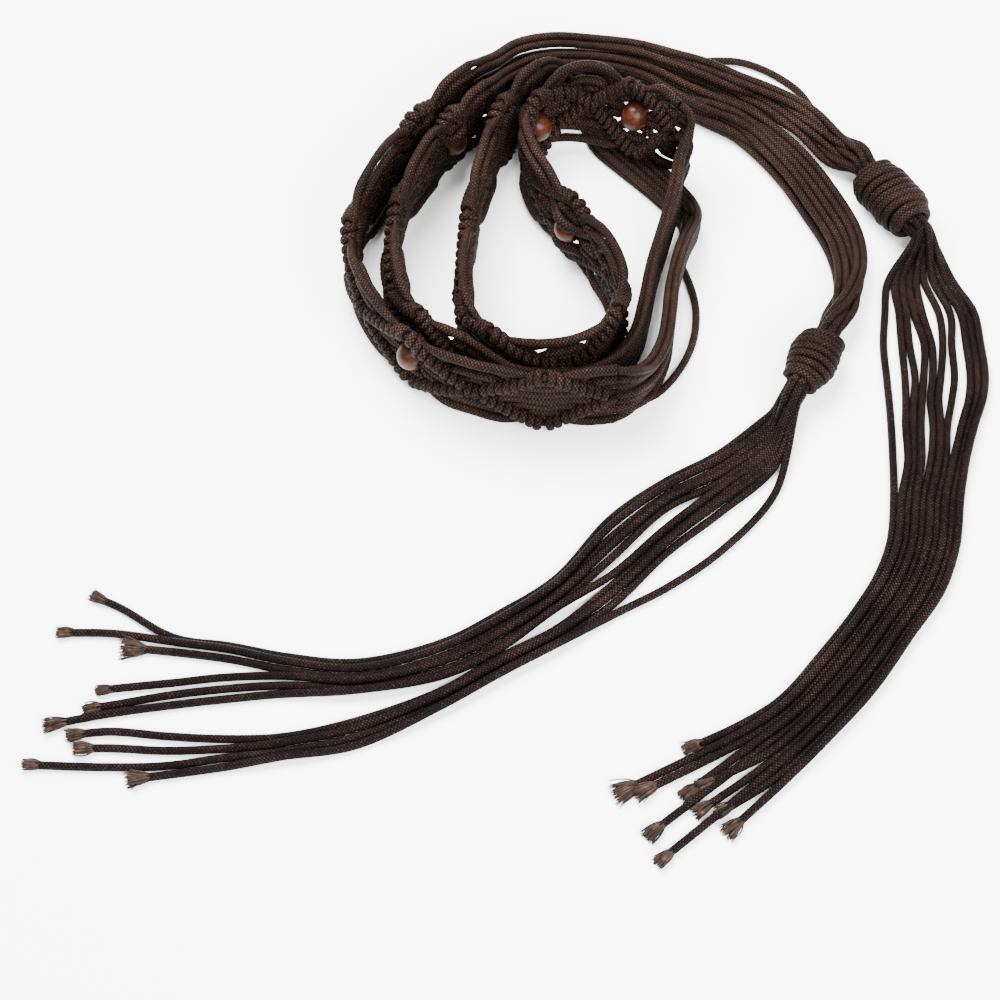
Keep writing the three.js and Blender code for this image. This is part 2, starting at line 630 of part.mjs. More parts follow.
const belt = new THREE.Group();
const centre = addBand('band_centre', CENTRE_ROUTE, CENTRE_CROSSINGS, CENTRE_BEADS, 'bead_centre');
const outer = addBand('band_outer', OUTER_ROUTE, OUTER_CROSSINGS, OUTER_BEADS, 'bead_outer');
const middle = addBand('band_middle', MIDDLE_ROUTE, MIDDLE_CROSSINGS, MIDDLE_BEADS, 'bead_middle');
const outerKnot = withHeight(OUTER_KNOT, OUTER_KNOT_TURNS);
const innerKnot = withHeight(INNER_KNOT, INNER_KNOT_TURNS);
addBundle('gap_cords_inner', bandMouth(centre, false), INNER_GAP, bandMouth(middle, false));
addBundle('gap_cords_outer', bandMouth(centre, true), OUTER_GAP, bandMouth(outer, false));
addBundle('loose_cords_outer', bandMouth(outer, true), OUTER_LOOSE, knotMouth(outerKnot));
addBundle('loose_cords_inner', bandMouth(middle, true), INNER_LOOSE, knotMouth(innerKnot));
addMesh('knot_outer', knotGeometry(outerKnot, OUTER_KNOT_TURNS), PLAIN_LOOK);
addMesh('knot_inner', knotGeometry(innerKnot, INNER_KNOT_TURNS), PLAIN_LOOK);
addMesh('tail_right', tailGeometry(outerKnot, rightRoutes), PLAIN_LOOK);
addMesh('tail_left', tailGeometry(innerKnot, leftRoutes), PLAIN_LOOK);

// Origin: the middle of the belt's outline on the floor
const box = new THREE.Box3().setFromObject(belt);
const boxMiddle = box.getCenter(new THREE.Vector3());
const group = new THREE.Group();
belt.position.set(-boxMiddle.x, -boxMiddle.y, -box.min.z);
group.add(belt);

export default group;
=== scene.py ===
"""Rope belt of dark waxed cord with wooden beads, lying loosely coiled.

Ten cords run from end to end: frayed tails, an overhand knot at the head of each, plain stretches,
and a band of half-hitched diamonds that carry the beads. Lengths in the tables are millimetres.
"""

import math

import bpy
import numpy as np
from mathutils import Matrix, Vector


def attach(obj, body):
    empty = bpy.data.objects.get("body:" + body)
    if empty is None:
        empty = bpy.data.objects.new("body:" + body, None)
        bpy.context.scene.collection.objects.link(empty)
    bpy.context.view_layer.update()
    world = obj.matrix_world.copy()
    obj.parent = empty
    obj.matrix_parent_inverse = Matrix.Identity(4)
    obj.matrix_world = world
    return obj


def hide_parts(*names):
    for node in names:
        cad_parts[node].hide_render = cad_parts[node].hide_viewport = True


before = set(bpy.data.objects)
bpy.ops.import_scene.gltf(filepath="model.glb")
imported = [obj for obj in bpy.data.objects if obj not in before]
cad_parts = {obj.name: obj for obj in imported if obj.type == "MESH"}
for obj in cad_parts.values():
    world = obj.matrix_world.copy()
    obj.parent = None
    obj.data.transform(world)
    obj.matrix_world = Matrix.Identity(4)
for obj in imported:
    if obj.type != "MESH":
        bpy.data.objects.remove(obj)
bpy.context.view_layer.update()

bl_info = {
    "name": "Rope belt",
    "version": (1, 0, 0),
    "blender": (4, 5, 0),
    "location": "View3D > Sidebar > Rope belt",
    "description": "Builds a coiled rope belt of half-hitched cord with wooden beads",
    "category": "Add Mesh",
}

MM = 0.001
PLAN_ORIGIN = (8.29, 26.87)  # the point of the plan that lies at the frame's origin
BODY = "root"

# Sizes of the cord and the band
CORD = 3.0
CORD_SIDES = 8  # sides of a cord in the coil
TAIL_SIDES = 10
TAIL_STEP = 2.6  # mm from one ring of a loose cord to the next
BAND_WIDTH = 38.0
CELLS = 8  # cells of a diamond along the band
HALF = 4

# Band: the top edge and the foot edge in plan, how wide the edge cords spread, in cords, and how
# high the foot edge is held by cords that pass below
CENTRE_ROUTE = [
    (68.5, 149.8, 67.2, 146.8, 1.2, 4.6), (61.5, 158, 61.7, 147.4, 1.3, 6.6),
    (51.5, 162, 54, 149, 1.4, 6.6), (43.5, 166.5, 44.8, 154, 1.4, 6.6),
    (34, 169.5, 35.9, 157.8, 1.4, 6.6),
    (24.5, 168, 26.6, 160, 1.3, 5), (17, 163.5, 18, 157.7, 1.2, 1), (11.4, 155.5, 13, 151.5, 1.2, 0),
    (8.6, 145, 10, 142, 1.2, 0), (12, 132, 11.5, 131, 1.3, 0), (18, 121, 16.5, 120, 1.4, 0),
    (26, 110, 24, 109, 1.4, 0), (35, 98, 33, 97, 1.4, 0), (42, 85, 40.5, 84, 1.4, 0),
    (44.5, 71, 43.5, 71, 1.3, 0), (40, 58, 40, 60, 1.2, 0), (31, 49, 31, 51, 1.1, 0),
    (18, 45, 18, 46.5, 1.1, 0), (6, 47, 6, 48.5, 1.1, 0), (-4, 53, -4, 54, 1.2, 0),
    (-10.5, 62, -11, 62.5, 1.3, 0), (-12.5, 74, -13.5, 74, 1.4, 0), (-12, 87, -13.5, 87, 1.5, 0),
    (-11, 100, -12.5, 100, 1.5, 0), (-9.5, 113, -10.5, 113, 1.4, 0), (-7, 126, -7.5, 125.5, 1.4, 0),
    (-4, 138, -4, 137, 1.3, 0), (-1.2, 148.5, -0.5, 146.5, 1.2, 0), (3, 157.5, 4.5, 154, 1.2, 0),
    (8, 165.5, 9, 161.5, 1.1, 0), (15.6, 172.4, 15.4, 170.8, 1.1, 0),
]
OUTER_ROUTE = [
    (42, 34, 42, 34.5, 1.1, 0), (30, 33, 30, 33, 1.1, 0), (17, 32.5, 17, 31.5, 1.1, 0),
    (3, 33.5, 3, 34, 1.1, 0), (-9, 36, -9, 38, 1.2, 0), (-21, 41, -20.5, 42.5, 1.2, 0),
    (-33, 50, -32.5, 51.5, 1.2, 0), (-43, 61, -42, 63, 1.4, 0), (-50, 73, -49, 74, 1.4, 0),
    (-54, 86, -53.5, 86, 1.4, 0), (-55, 99, -55, 98.5, 1.4, 0), (-52, 112, -52, 111, 1.4, 0),
    (-47, 124, -46, 122.5, 1.4, 0), (-41, 135, -40.5, 134.5, 1.3, 0), (-34, 145.5, -33.5, 145, 1.2, 0),
    (-26, 155, -25.5, 154.5, 1.1, 0), (-19.5, 164, -19, 163.5, 1.1, 0),
    (-11, 171.3, -10.5, 170.8, 1.1, 0),
]
MIDDLE_ROUTE = [
    (-12, 47.5, -13, 48, 1.1, 0), (-20, 52, -20.5, 53, 1.1, 0), (-28, 59, -29, 60.5, 1.2, 0),
    (-34, 68.5, -36, 70, 1.3, 0), (-37, 80, -40.5, 81, 1.4, 0), (-38, 93, -42, 94, 1.4, 0),
    (-37, 106, -41, 107, 1.4, 0), (-33.5, 119, -37, 120.5, 1.4, 0), (-28.5, 131.5, -30.5, 132.5, 1.3, 0),
    (-22, 143, -23, 144, 1.2, 0), (-14, 153.5, -15, 154.5, 1.1, 0), (-4.8, 162.3, -6.3, 163, 1.1, 0),
]
# Where the diamonds of each stretch meet, in mm along it, and which of them carry a bead
CENTRE_CROSSINGS = (36, 87, 142, 190, 245, 300)
OUTER_CROSSINGS = (52, 106, 160)
MIDDLE_CROSSINGS = (41, 98)
CENTRE_BEADS = (0, 1, 2)
OUTER_BEADS = (1,)
MIDDLE_BEADS = (2,)

# Plain stretches: the middle line in plan, then its height, half width and half height in cords
INNER_GAP = [
    (71.3, 142, 6.9, 0.75, 4.9), (68.2, 134, 6.4, 0.75, 4.1), (66, 121, 6.1, 0.85, 3.8),
    (61.8, 106, 5, 1.05, 4.2), (57.3, 91, 4.4, 1.2, 3.9), (54, 75, 4.2, 1.3, 3.7),
    (50.5, 61, 4.1, 1.2, 3.7), (44, 50, 4.2, 0.9, 3.8), (33, 41.8, 4.4, 0.55, 4.1),
    (18, 39.6, 4.4, 0.5, 4.1), (4, 40.8, 4.6, 0.5, 4.3),
]
OUTER_GAP = [
    (24.5, 178, 5.2, 0.95, 4.6), (31, 175.5, 3.7, 1.5, 3.2), (37, 169.5, 1.7, 2, 1.4),
    (42, 160.6, 1.05, 2.5, 0.95), (49.5, 152.3, 1.05, 2.5, 0.95), (57, 144.5, 1.05, 2.4, 0.95),
    (64, 136.5, 1.05, 2.2, 0.95), (70.3, 128, 1.1, 2, 1), (73, 117, 2.4, 1.3, 2.1),
    (68.6, 101, 4, 1.15, 3.5), (64.7, 85, 3.9, 1.3, 3.4), (62.8, 69, 3.9, 1.35, 3.4),
    (60.5, 56, 4, 1.25, 3.5), (55, 44, 4.3, 1, 3.8),
]
OUTER_LOOSE = [
    (-1.5, 179.5, 5.7, 1, 5.1), (7, 188, 5.3, 1.05, 4.7), (20.5, 193.5, 4.8, 1.15, 4.2),
    (38, 194.5, 4.3, 1.2, 3.7), (54, 193.5, 4, 1.25, 3.4), (67.5, 190, 3.7, 1.3, 3),
    (80, 186.5, 3.3, 1.6, 2.6), (92, 181.3, 2.9, 1.8, 2.1), (106.5, 174.3, 2.6, 2.1, 1.9),
    (119.5, 164.5, 2.6, 2.4, 1.8), (131.5, 151.5, 2.8, 2.4, 1.9),
]
INNER_LOOSE = [
    (4.5, 175.5, 5.2, 0.9, 4.6), (14.5, 183, 4.8, 0.95, 4.1), (28, 186.3, 4.4, 1, 3.7),
    (43.5, 186.6, 4, 1.05, 3.3), (58, 183.5, 3.6, 1.1, 2.9), (70.5, 177, 3.2, 1.3, 2.5),
    (83, 171, 2.8, 1.7, 2), (95.5, 165, 2.3, 2.1, 1.7), (107.5, 153.5, 2, 2.6, 1.4),
    (115.5, 142.5, 1.9, 3, 1.4), (122.8, 129, 1.9, 3.2, 1.4), (130.5, 111.5, 2, 3, 1.5),
    (132.5, 97, 2.1, 2.7, 1.6), (129.5, 81.5, 2.5, 2.2, 1.9),
]

# Knots: the two ends in plan, and the turns (place along it, half width outside, half length, all in
# cords, and the lean in degrees)
OUTER_KNOT = ((141.5, 141), (158.3, 114), 11.25)
INNER_KNOT = ((122.3, 66.5), (108.5, 40.5), 10.05)
OUTER_TURNS = [(-3.9, 2.9, 0.8, -6), (-2, 3.7, 0.95, -16), (0.3, 3.5, 0.95, -16), (2.3, 3.6, 0.95, -12),
               (4.2, 2.8, 0.8, -6)]
INNER_TURNS = [(-3, 2.9, 0.8, 8), (-1.2, 3.3, 0.85, 5), (0.7, 3.2, 0.85, -3), (3.1, 2.4, 0.7, 0)]

# Left tail: where each of the ten cords lies (y) at each station (x), then its end
LEFT_STATIONS = [
    (100, [35.5, 32, 29, 26, 23, 20.5, 18, 15.5, 12.5, 2]),
    (80, [18.5, 15.5, 12.5, 9.5, 6.5, 3.5, 0.5, -2.5, -6, -21.5]),
    (60, [6.7, 3.7, 0.7, -2, -4.5, -13.5, -16.3, -19.3, -22.7, -36.7]),
    (40, [-8.7, -12.5, -16.5, -20.5, -25, -32.5, -36, -40, -43.8, -48]),
    (20, [-33.3, -36, -38.8, -41.5, -44, -46.3, -53.5, -56, -58.2, -60.5]),
    (0, [-47.3, -50.2, -53, -56, -59, -62, -64.8, -67.3, -69.7, -72]),
    (-20, [-58.8, -61.5, -64.3, -67, -69.8, -72.5, -77.5, -79.8, -82, -84.3]),
    (-50, [-66.7, -69.5, -72.3, -74.5, -76.5, -78.5, -89.5, -92.5, -95.6, -98.8]),
    (-75, [-64.5, -67, -69.7, -72.5, -75.7, -79, -95.5, -98.3, -101, -103.6]),
    (-95, [-60.3, -62.6, -65.5, -72.5, -77, -81, -96.3, -100, -103.5, -107]),
    (-115, [-57, -59.5, -62.7, -74.8, -79.5, -83.5, -95.3, -100.8, -106.5, -110]),
    (-135, [-45, -55.5, None, -77, -83.3, -86.5, -93.5, -99.8, -107, None]),
]
LEFT_ENDS = [
    (-146, -40), (-157, -55), (-131, -61), (-142, -78), (-145.5, -85),
    (-157, -91), (-150, -95), (-147, -100), (-165, -106), (-127, -111.5),
]
# Width of each frayed brush, in mm
LEFT_BRUSHES = [5, 5, 10, 4, 5, 8, 6, 6, 4.5, 8]

# Right tail: where each cord lies (x) at each station (y), then the edges of the part below
RIGHT_STATIONS = [
    (95, [147.5, 150.2, 152.8, 155.4, 158.2, 161.2, 164.6, 167.6, 170, 172.2]),
    (80, [145.3, 150.5, 153.4, 156.4, 159.6, 165.8, 170, 173.5, 176.2, 178.6]),
    (66, [143.8, 150.6, 153.6, 159, 162, 166, 169.4, 174.6, 177.4, 180]),
    (52, [144, 150.8, 154.6, 157.8, 161.2, 164.2, 169.3, 175, 177.9, 180.6]),
    (42, [144.2, 150.4, 153.4, 156.4, 159.6, 162.6, 167.5, 173.6, 176.4, 179]),
    (30, [144.2, 149.4, 152.3, 155, 159.6, 162.2, 164.8, 169.8, 172.4, 174.8]),
    (15, [143.8, 149, 151.6, 154, 157.6, 160.4, 163, 165.6, 168, 170.4]),
]
RIGHT_EDGES = [
    (143, 0, 167.2, 0), (140.5, -18, 163.8, -21), (135, -32, 157, -39), (126, -46.5, 145, -56.5),
    (113, -63.5, 130, -78), (98, -81, 112, -98), (84, -90.5, 97.5, -112.5),
]
RIGHT_ENDS = [
    (64, -100.5), (41, -116.5), (47.5, -117), (62, -118), (50, -132.5),
    (67, -114.5), (66.5, -124.5), (53, -142.5), (73.5, -125), (77, -131.5),
]
RIGHT_BRUSHES = [7, 10, 8, 6, 7, 5, 6, 6, 5, 7]

# How the ten cords stand in the round mouth of a knot, in mm
KNOT_MOUTH = [
    (-1.45, 3.9), (1.45, 3.9), (-2.9, 1.3), (0, 1.3), (2.9, 1.3),
    (-2.9, -1.3), (0, -1.3), (2.9, -1.3), (-1.45, -3.9), (1.45, -3.9),
]


def unit(vectors):
    return vectors / np.linalg.norm(vectors, axis=-1, keepdims=True)


def smooth(points, shares):
    """The points of a centripetal curve through the given ones, at each share of the way."""
    given = np.asarray(points, float)
    last = len(given) - 1
    whole = np.vstack([2 * given[0] - given[1], given, 2 * given[-1] - given[-2]])
    place = np.clip(np.asarray(shares, float) * last, 0, last)
    start = np.minimum(place.astype(int), last - 1)
    t = (place - start)[:, None]
    p0, p1, p2, p3 = (whole[start + k] for k in range(4))
    gap = [np.maximum(np.sqrt(np.linalg.norm(b - a, axis=1)), 1e-2)[:, None]
           for a, b in ((p0, p1), (p1, p2), (p2, p3))]
    m1 = ((p1 - p0) / gap[0] - (p2 - p0) / (gap[0] + gap[1]) + (p2 - p1) / gap[1]) * gap[1]
    m2 = ((p2 - p1) / gap[1] - (p3 - p1) / (gap[1] + gap[2]) + (p3 - p2) / gap[2]) * gap[1]
    return (p1 + m1 * t + (3 * (p2 - p1) - 2 * m1 - m2) * t ** 2
            + (2 * (p1 - p2) + m1 + m2) * t ** 3)


def evenly(points, step, fine=16):
    """A smooth line through the points, cut into even steps of about that length."""
    dense = smooth(points, np.linspace(0, 1, fine * (len(points) - 1) + 1))
    reached = np.concatenate([[0], np.cumsum(np.linalg.norm(np.diff(dense, axis=0), axis=1))])
    count = max(2, int(round(reached[-1] / step)))
    marks = np.linspace(0, reached[-1], count + 1)
    return np.stack([np.interp(marks, reached, dense[:, k]) for k in range(dense.shape[1])], 1)


class Strand:
    """A line of points with what points outward at each, and the half sizes of the section."""

    def __init__(self, points, ups=None, high=CORD / 2, wide=CORD / 2):
        self.points = np.array(points, float)
        count = len(self.points)
        self.high = np.broadcast_to(np.asarray(high, float), (count,))
        self.wide = np.broadcast_to(np.asarray(wide, float), (count,))
        self.points[:, 2] = np.maximum(self.points[:, 2], np.maximum(self.high, self.wide))
        self.ups = carried_ups(self.points) if ups is None else np.asarray(ups, float)


def carried_ups(points):
    """Up directions that turn as little as they can along a line."""
    ahead = unit(np.gradient(points, axis=0))
    up = np.array([0.0, 0.0, 1.0]) if abs(ahead[0][2]) < 0.9 else np.array([1.0, 0.0, 0.0])
    ups = []
    for direction in ahead:
        up = up - direction * up.dot(direction)
        up = up / np.linalg.norm(up)
        ups.append(up)
    return np.array(ups)


def tube_mesh(name, strands, sides):
    """One mesh of all the strands, with a UV map: metres along a strand, and the turn round it."""
    corners = np.arange(sides) * 2 * math.pi / sides
    all_points, all_faces, all_uvs = [], [], []
    first = 0
    for number, strand in enumerate(strands):
        points = strand.points
        count = len(points)
        ahead = unit(np.gradient(points, axis=0))
        up = unit(strand.ups - ahead * (strand.ups * ahead).sum(1, keepdims=True))
        side = np.cross(ahead, up)
        rings = (points[:, None]
                 + up[:, None] * (strand.high[:, None] * np.cos(corners))[..., None]
                 + side[:, None] * (strand.wide[:, None] * np.sin(corners))[..., None])
        all_points.append(rings.reshape(-1, 3))
        reached = np.concatenate([[0], np.cumsum(np.linalg.norm(np.diff(points, axis=0), axis=1))])
        reached = reached * MM + 0.137 * number
        ring, corner = np.meshgrid(np.arange(count - 1), np.arange(sides), indexing="ij")
        ring, corner = ring.ravel(), corner.ravel()
        after = (corner + 1) % sides
        quads = np.stack([ring * sides + corner, ring * sides + after,
                          (ring + 1) * sides + after, (ring + 1) * sides + corner], 1) + first
        all_faces += quads.tolist()
        u0, u1 = reached[ring], reached[ring + 1]
        v0, v1 = corner / sides, (corner + 1) / sides
        all_uvs.append(np.stack([u0, v0, u0, v1, u1, v1, u1, v0], 1).reshape(-1, 2))
        start = list(range(first + sides - 1, first - 1, -1))
        end = list(range(first + (count - 1) * sides, first + count * sides))
        all_faces += [start, end]
        for mark, cap in ((reached[0], start), (reached[-1], end)):
            all_uvs.append(np.array([(mark, k / sides) for k in range(len(cap))]))
        first += count * sides
    mesh = bpy.data.meshes.new(name)
    vertices = (np.vstack(all_points) - (*PLAN_ORIGIN, 0)) * MM
    mesh.from_pydata(vertices.tolist(), [], all_faces)
    mesh.uv_layers.new(name="UVMap").data.foreach_set("uv", np.vstack(all_uvs).ravel())
    mesh.polygons.foreach_set("use_smooth", [len(p.vertices) == 4 for p in mesh.polygons])
    mesh.update()
    return mesh


def add_strands(name, strands, sides, finish, nodes=()):
    """A piece made of cord strands, riding on the belt's body and standing for the CAD nodes."""
    piece = bpy.data.objects.new(name, tube_mesh(name, strands, sides))
    bpy.context.scene.collection.objects.link(piece)
    piece.data.materials.append(finish)
    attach(piece, BODY)
    if nodes:
        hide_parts(*nodes)
    return piece


# The band
BAR_CENTRE = BAND_WIDTH / 2
BAR_REACH = 15.8  # from the band's middle to a leader's top, so that its hitches clear the floor
BAR_PROUD = 1.3  # the rows of hitches stand this far in front of the band's middle
LEADER = 1.2  # half thickness of a leader, drawn tight inside its hitches
HITCH_RADIUS = 2.05  # a hitch's middle line round its leader
HITCH_HIGH = 1.15
HITCH_FILL = 0.485  # half width of a wrap, against its share of the row
HITCH_FIRST = 0.12
HITCH_LAST = 0.97
HITCH_STEPS = 28
HITCH_DEGREES = (-135, -945)  # from behind the leader, twice over its front and out behind it
HALF_CORDS = 4


class Band:
    """A band standing on its foot edge; place() works in cells along, mm up and mm to the left."""

    def __init__(self, rows, crossings, beads):
        rows = np.array(rows, float)
        shares = np.linspace(0, 1, 24 * len(rows) + 1)
        self.top = smooth(rows[:, [0, 1, 4]], shares)
        self.foot = smooth(rows[:, [2, 3, 5]], shares)
        self.lift = np.maximum(self.foot[:, 2], 0)
        self.foot = self.foot[:, :2]
        self.spread = self.top[:, 2] * CORD
        self.top = self.top[:, :2]
        middle = (self.top + self.foot) / 2
        self.reached = np.concatenate(
            [[0], np.cumsum(np.linalg.norm(np.diff(middle, axis=0), axis=1))])
        self.ahead = unit(np.gradient(middle, axis=0))
        self.marks = np.array([0, *crossings, self.reached[-1]])
        self.diamonds = len(crossings) + 1
        self.beads = beads

    def along(self, column):
        return np.interp(column, CELLS * np.arange(self.diamonds + 1), self.marks)

    def at(self, values, column):
        along = self.along(column)
        if values.ndim == 1:
            return np.interp(along, self.reached, values)
        return np.stack([np.interp(along, self.reached, values[:, k]) for k in (0, 1)], -1)

    def left(self, column):
        ahead = unit(self.at(self.ahead, column))
        return np.stack([-ahead[..., 1], ahead[..., 0], 0 * ahead[..., 0]], -1)

    def place(self, column, across, out=0.0):
        column, across, out = np.broadcast_arrays(*(np.asarray(x, float) for x in (column, across, out)))
        top, foot = self.at(self.top, column), self.at(self.foot, column)
        share = (across / BAND_WIDTH)[..., None]
        height = np.sqrt(BAND_WIDTH ** 2 - ((top - foot) ** 2).sum(-1))
        point = foot + (top - foot) * share + self.left(column)[..., :2] * out[..., None]
        up = self.at(self.lift, column) + height * across / BAND_WIDTH
        return np.concatenate([point, up[..., None]], -1)


# Where the four cords of a half pass a crossing, from the middle outward: mm from the band's middle,
# and to which side, against the spread
EDGE_FLOATS = [(5.8, -0.05), (9.8, 0.1), (13.7, -0.25), (17.3, 0.25)]

# Where they pass the middle of a diamond, with a bead and without: mm from the band's middle, and
# mm to the left
BESIDE_BEAD = [(1.0, 0), (6.4, -4.2), (9.8, -0.6), (13.0, -0.6)]
NO_BEAD = [(2.0, -0.7), (5.9, -0.8), (9.6, -0.8), (12.8, -0.8)]

# Where they pass between that place and the rows of hitches, and the innermost close to its row
BOW_TO_BEAD = [(1.9, -0.6), (5.9, -0.7), (9.8, -0.6)]
BOW_PLAIN = [(1.9, -0.7), (5.9, -0.8), (9.8, -0.8)]
BESIDE_BAR = 2.2
BESIDE_BEAD_HOLE = 0.95  # cells to either side of a bead's middle where its cords are squeezed
THREADED_HALF = CORD * 0.35
NEAR_BAR = 0.8  # share of the way from a diamond's middle to a row of hitches
EDGE_SAG = [0.3, 0.2, 0.1, 0.7]  # mm that each of the four hangs inward beside a crossing
FLOAT_HALF = 1.8  # half thickness of a cord that lies slack between two rows, at an edge
WINDOW_HALF = 2.2  # and inside a diamond, where it is untwisted and flattened


def edge_place(band, crossing, cord, half):
    spread = band.at(band.spread, min(max(crossing, 0), CELLS * band.diamonds))
    reach, side = EDGE_FLOATS[cord]
    return reach * half, side * spread


def hitch_share(cord):
    return HITCH_FIRST + (HITCH_LAST - HITCH_FIRST) * (cord + 0.5) / HALF_CORDS


def bar_frame(band, column, half):
    """Centre of a leader's bar at a column, its direction, the way across it and its front."""
    def leader(c):
        share = 1 - abs((c % CELLS) - HALF) / HALF
        return band.place(c, BAR_CENTRE + half * BAR_REACH * share, BAR_PROUD)
    centre = leader(column)
    bar = unit(leader(column + 0.2) - leader(column - 0.2))
    front = band.left(column)
    across = np.cross(bar, front)
    if across[:2].dot(band.at(band.ahead, column)) < 0:
        across = -across
    return centre, bar, across, front


def bar_length(band, column):
    """Length of the row of hitches on the leader that passes a column."""
    first = CELLS * int(column // CELLS) + (0 if column % CELLS < HALF else HALF)
    return math.hypot(band.along(first + HALF) - band.along(first), BAR_REACH)


def hitch(band, column, half):
    """A double half hitch: behind the leader, twice over its front and out behind it again."""
    centre, bar, across, front = bar_frame(band, column, half)
    pitch = bar_length(band, column) * (HITCH_LAST - HITCH_FIRST) / HALF_CORDS / 2
    degrees = np.linspace(*HITCH_DEGREES, HITCH_STEPS)
    turn = np.radians(degrees)
    radial = np.outer(np.cos(turn), front) + np.outer(np.sin(turn), across)
    drift = np.clip((sum(HITCH_DEGREES) / 2 - degrees) / 360, -0.8, 0.8) * pitch
    return centre + radial * HITCH_RADIUS + np.outer(drift, bar), radial, pitch * HITCH_FILL


def band_cord(band, cord, half):
    """One cord through the band, hitched on each bar that it meets."""
    share = hitch_share(cord)
    lines = []

    def float_point(column, reach, out, thick=FLOAT_HALF):
        point = band.place(column, BAR_CENTRE + reach, out)
        lines.append((point[None], None, thick, thick))

    def knot(column):
        points, radial, wide = hitch(band, column, half)
        lines.append((points, radial, HITCH_HIGH, wide))

    ease = 0.5 * HALF * share
    for diamond in range(band.diamonds + 1):
        crossing = CELLS * diamond
        reach, out = edge_place(band, crossing, cord, half)
        sag = EDGE_SAG[cord] * half
        if diamond:
            float_point(crossing - ease, reach - sag, out)
        float_point(crossing, reach, out)
        if diamond == band.diamonds:
            break
        float_point(crossing + ease, reach - sag, out)
        knot(crossing + HALF * share)
        node = crossing + HALF
        beaded = diamond in band.beads
        reach, out = (BESIDE_BEAD if beaded else NO_BEAD)[cord]
        room = HALF * (1 - share)
        if cord == 0:
            float_point(node - NEAR_BAR * room, BESIDE_BAR * half, 0, WINDOW_HALF)
        if cord < 3:
            bow, back = (BOW_TO_BEAD if beaded else BOW_PLAIN)[cord]
            float_point(node - 0.5 * room, bow * half, back, WINDOW_HALF)
        if cord == 0 and beaded:
            for step in (-BESIDE_BEAD_HOLE, 0, BESIDE_BEAD_HOLE):
                float_point(node + step, reach * half, out, THREADED_HALF)
        else:
            float_point(node, reach * half, out, WINDOW_HALF)
        if cord < 3:
            float_point(node + 0.5 * room, bow * half, back, WINDOW_HALF)
        if cord == 0:
            float_point(node + NEAR_BAR * room, BESIDE_BAR * half, 0, WINDOW_HALF)
        knot(node + HALF * (1 - share))
    return join_lines(lines)


def join_lines(lines):
    """Strand through the hitches' own points, with eased floats between them."""
    points = np.vstack([line[0] for line in lines])
    ups, high, wide = [], [], []
    for number, (part, radial, tall, broad) in enumerate(lines):
        if radial is None:
            known = [(abs(k - number), k) for k, other in enumerate(lines) if other[1] is not None]
            nearest = lines[min(known)[1]]
            radial = nearest[1][[0 if min(known)[1] > number else -1]]
        ups.append(radial)
        high += [tall] * len(part)
        wide += [broad] * len(part)
    knots = np.hstack([points, np.vstack(ups), np.array(high)[:, None], np.array(wide)[:, None]])
    gaps = np.linalg.norm(np.diff(points, axis=0), axis=1)
    shares = []
    for number, gap in enumerate(gaps):
        pieces = max(1, int(round(gap / 2.2)))
        shares += [(number + k / pieces) / len(gaps) for k in range(pieces)]
    shares.append(1.0)
    curve = smooth(points, shares)
    place = np.array(shares) * len(gaps)
    rest = np.stack([np.interp(place, np.arange(len(points)), knots[:, k]) for k in range(3, 8)], 1)
    return Strand(curve, unit(rest[:, :3]), rest[:, 3], rest[:, 4])


def leader_strands(band):
    """The two leaders that swing from edge to edge, and the hitch where they cross."""
    strands = []
    columns = np.arange(0, CELLS * band.diamonds + 0.01, 0.5)
    for which in (0, 1):
        swing = 1 - np.abs((columns % CELLS) - HALF) / HALF
        half = np.where(((columns // CELLS).astype(int) + which) % 2 == 0, 1.0, -1.0)
        near = np.exp(-(swing / 0.16) ** 2)
        out = BAR_PROUD + near * 1.2 * (1 if which else -1)
        points = band.place(columns, BAR_CENTRE + half * np.minimum(swing, 0.94) * BAR_REACH, out)
        strands.append(Strand(smooth(points, np.linspace(0, 1, 2 * len(points))), None, LEADER, LEADER))
    angles = np.radians(np.linspace(0, 360, 13))
    for diamond in range(1, band.diamonds):
        column = CELLS * diamond
        centre, bar, across, front = bar_frame(band, column + 0.01, 1.0 if diamond % 2 else -1.0)
        for drift in (-1.4, 1.4):
            radial = np.outer(np.cos(angles), front) + np.outer(np.sin(angles), across)
            points = centre + radial * (HITCH_RADIUS + 0.4) + bar * drift
            strands.append(Strand(points, radial, HITCH_HIGH + 0.1, CORD / 2 * 0.92))
    return strands


def build_band(name, band, finish):
    strands = []
    for half in (1.0, -1.0):
        for cord in range(HALF_CORDS):
            strands.append(band_cord(band, cord, half))
    strands += leader_strands(band)
    return add_strands(name + "_cords", strands, CORD_SIDES, finish, [name])


def band_mouth(band, at_end):
    """The ten places where the cords leave a band, from the top down, its middle and heading."""
    column = CELLS * band.diamonds if at_end else 0
    places = []
    for half in (1.0, -1.0):
        fan = [edge_place(band, column, cord, half) for cord in (3, 2, 1, 0)]
        fan.append((0.0, 1.2 * half))
        places += fan if half > 0 else fan[::-1]
    points = np.array([band.place(column, BAR_CENTRE + reach, out) for reach, out in places])
    ahead = unit(band.at(band.ahead, column)) * (1 if at_end else -1)
    middle = band.place(column, BAR_CENTRE)
    return {"points": points, "middle": middle, "ahead": np.append(ahead, 0),
            "rise": middle[2] / CORD, "wide": 0.9, "tall": 5.6}


def knot_line(knot):
    (x0, y0), (x1, y1), height = knot
    start, end = np.array([x0, y0, height]), np.array([x1, y1, height])
    return start, end, unit(end - start)


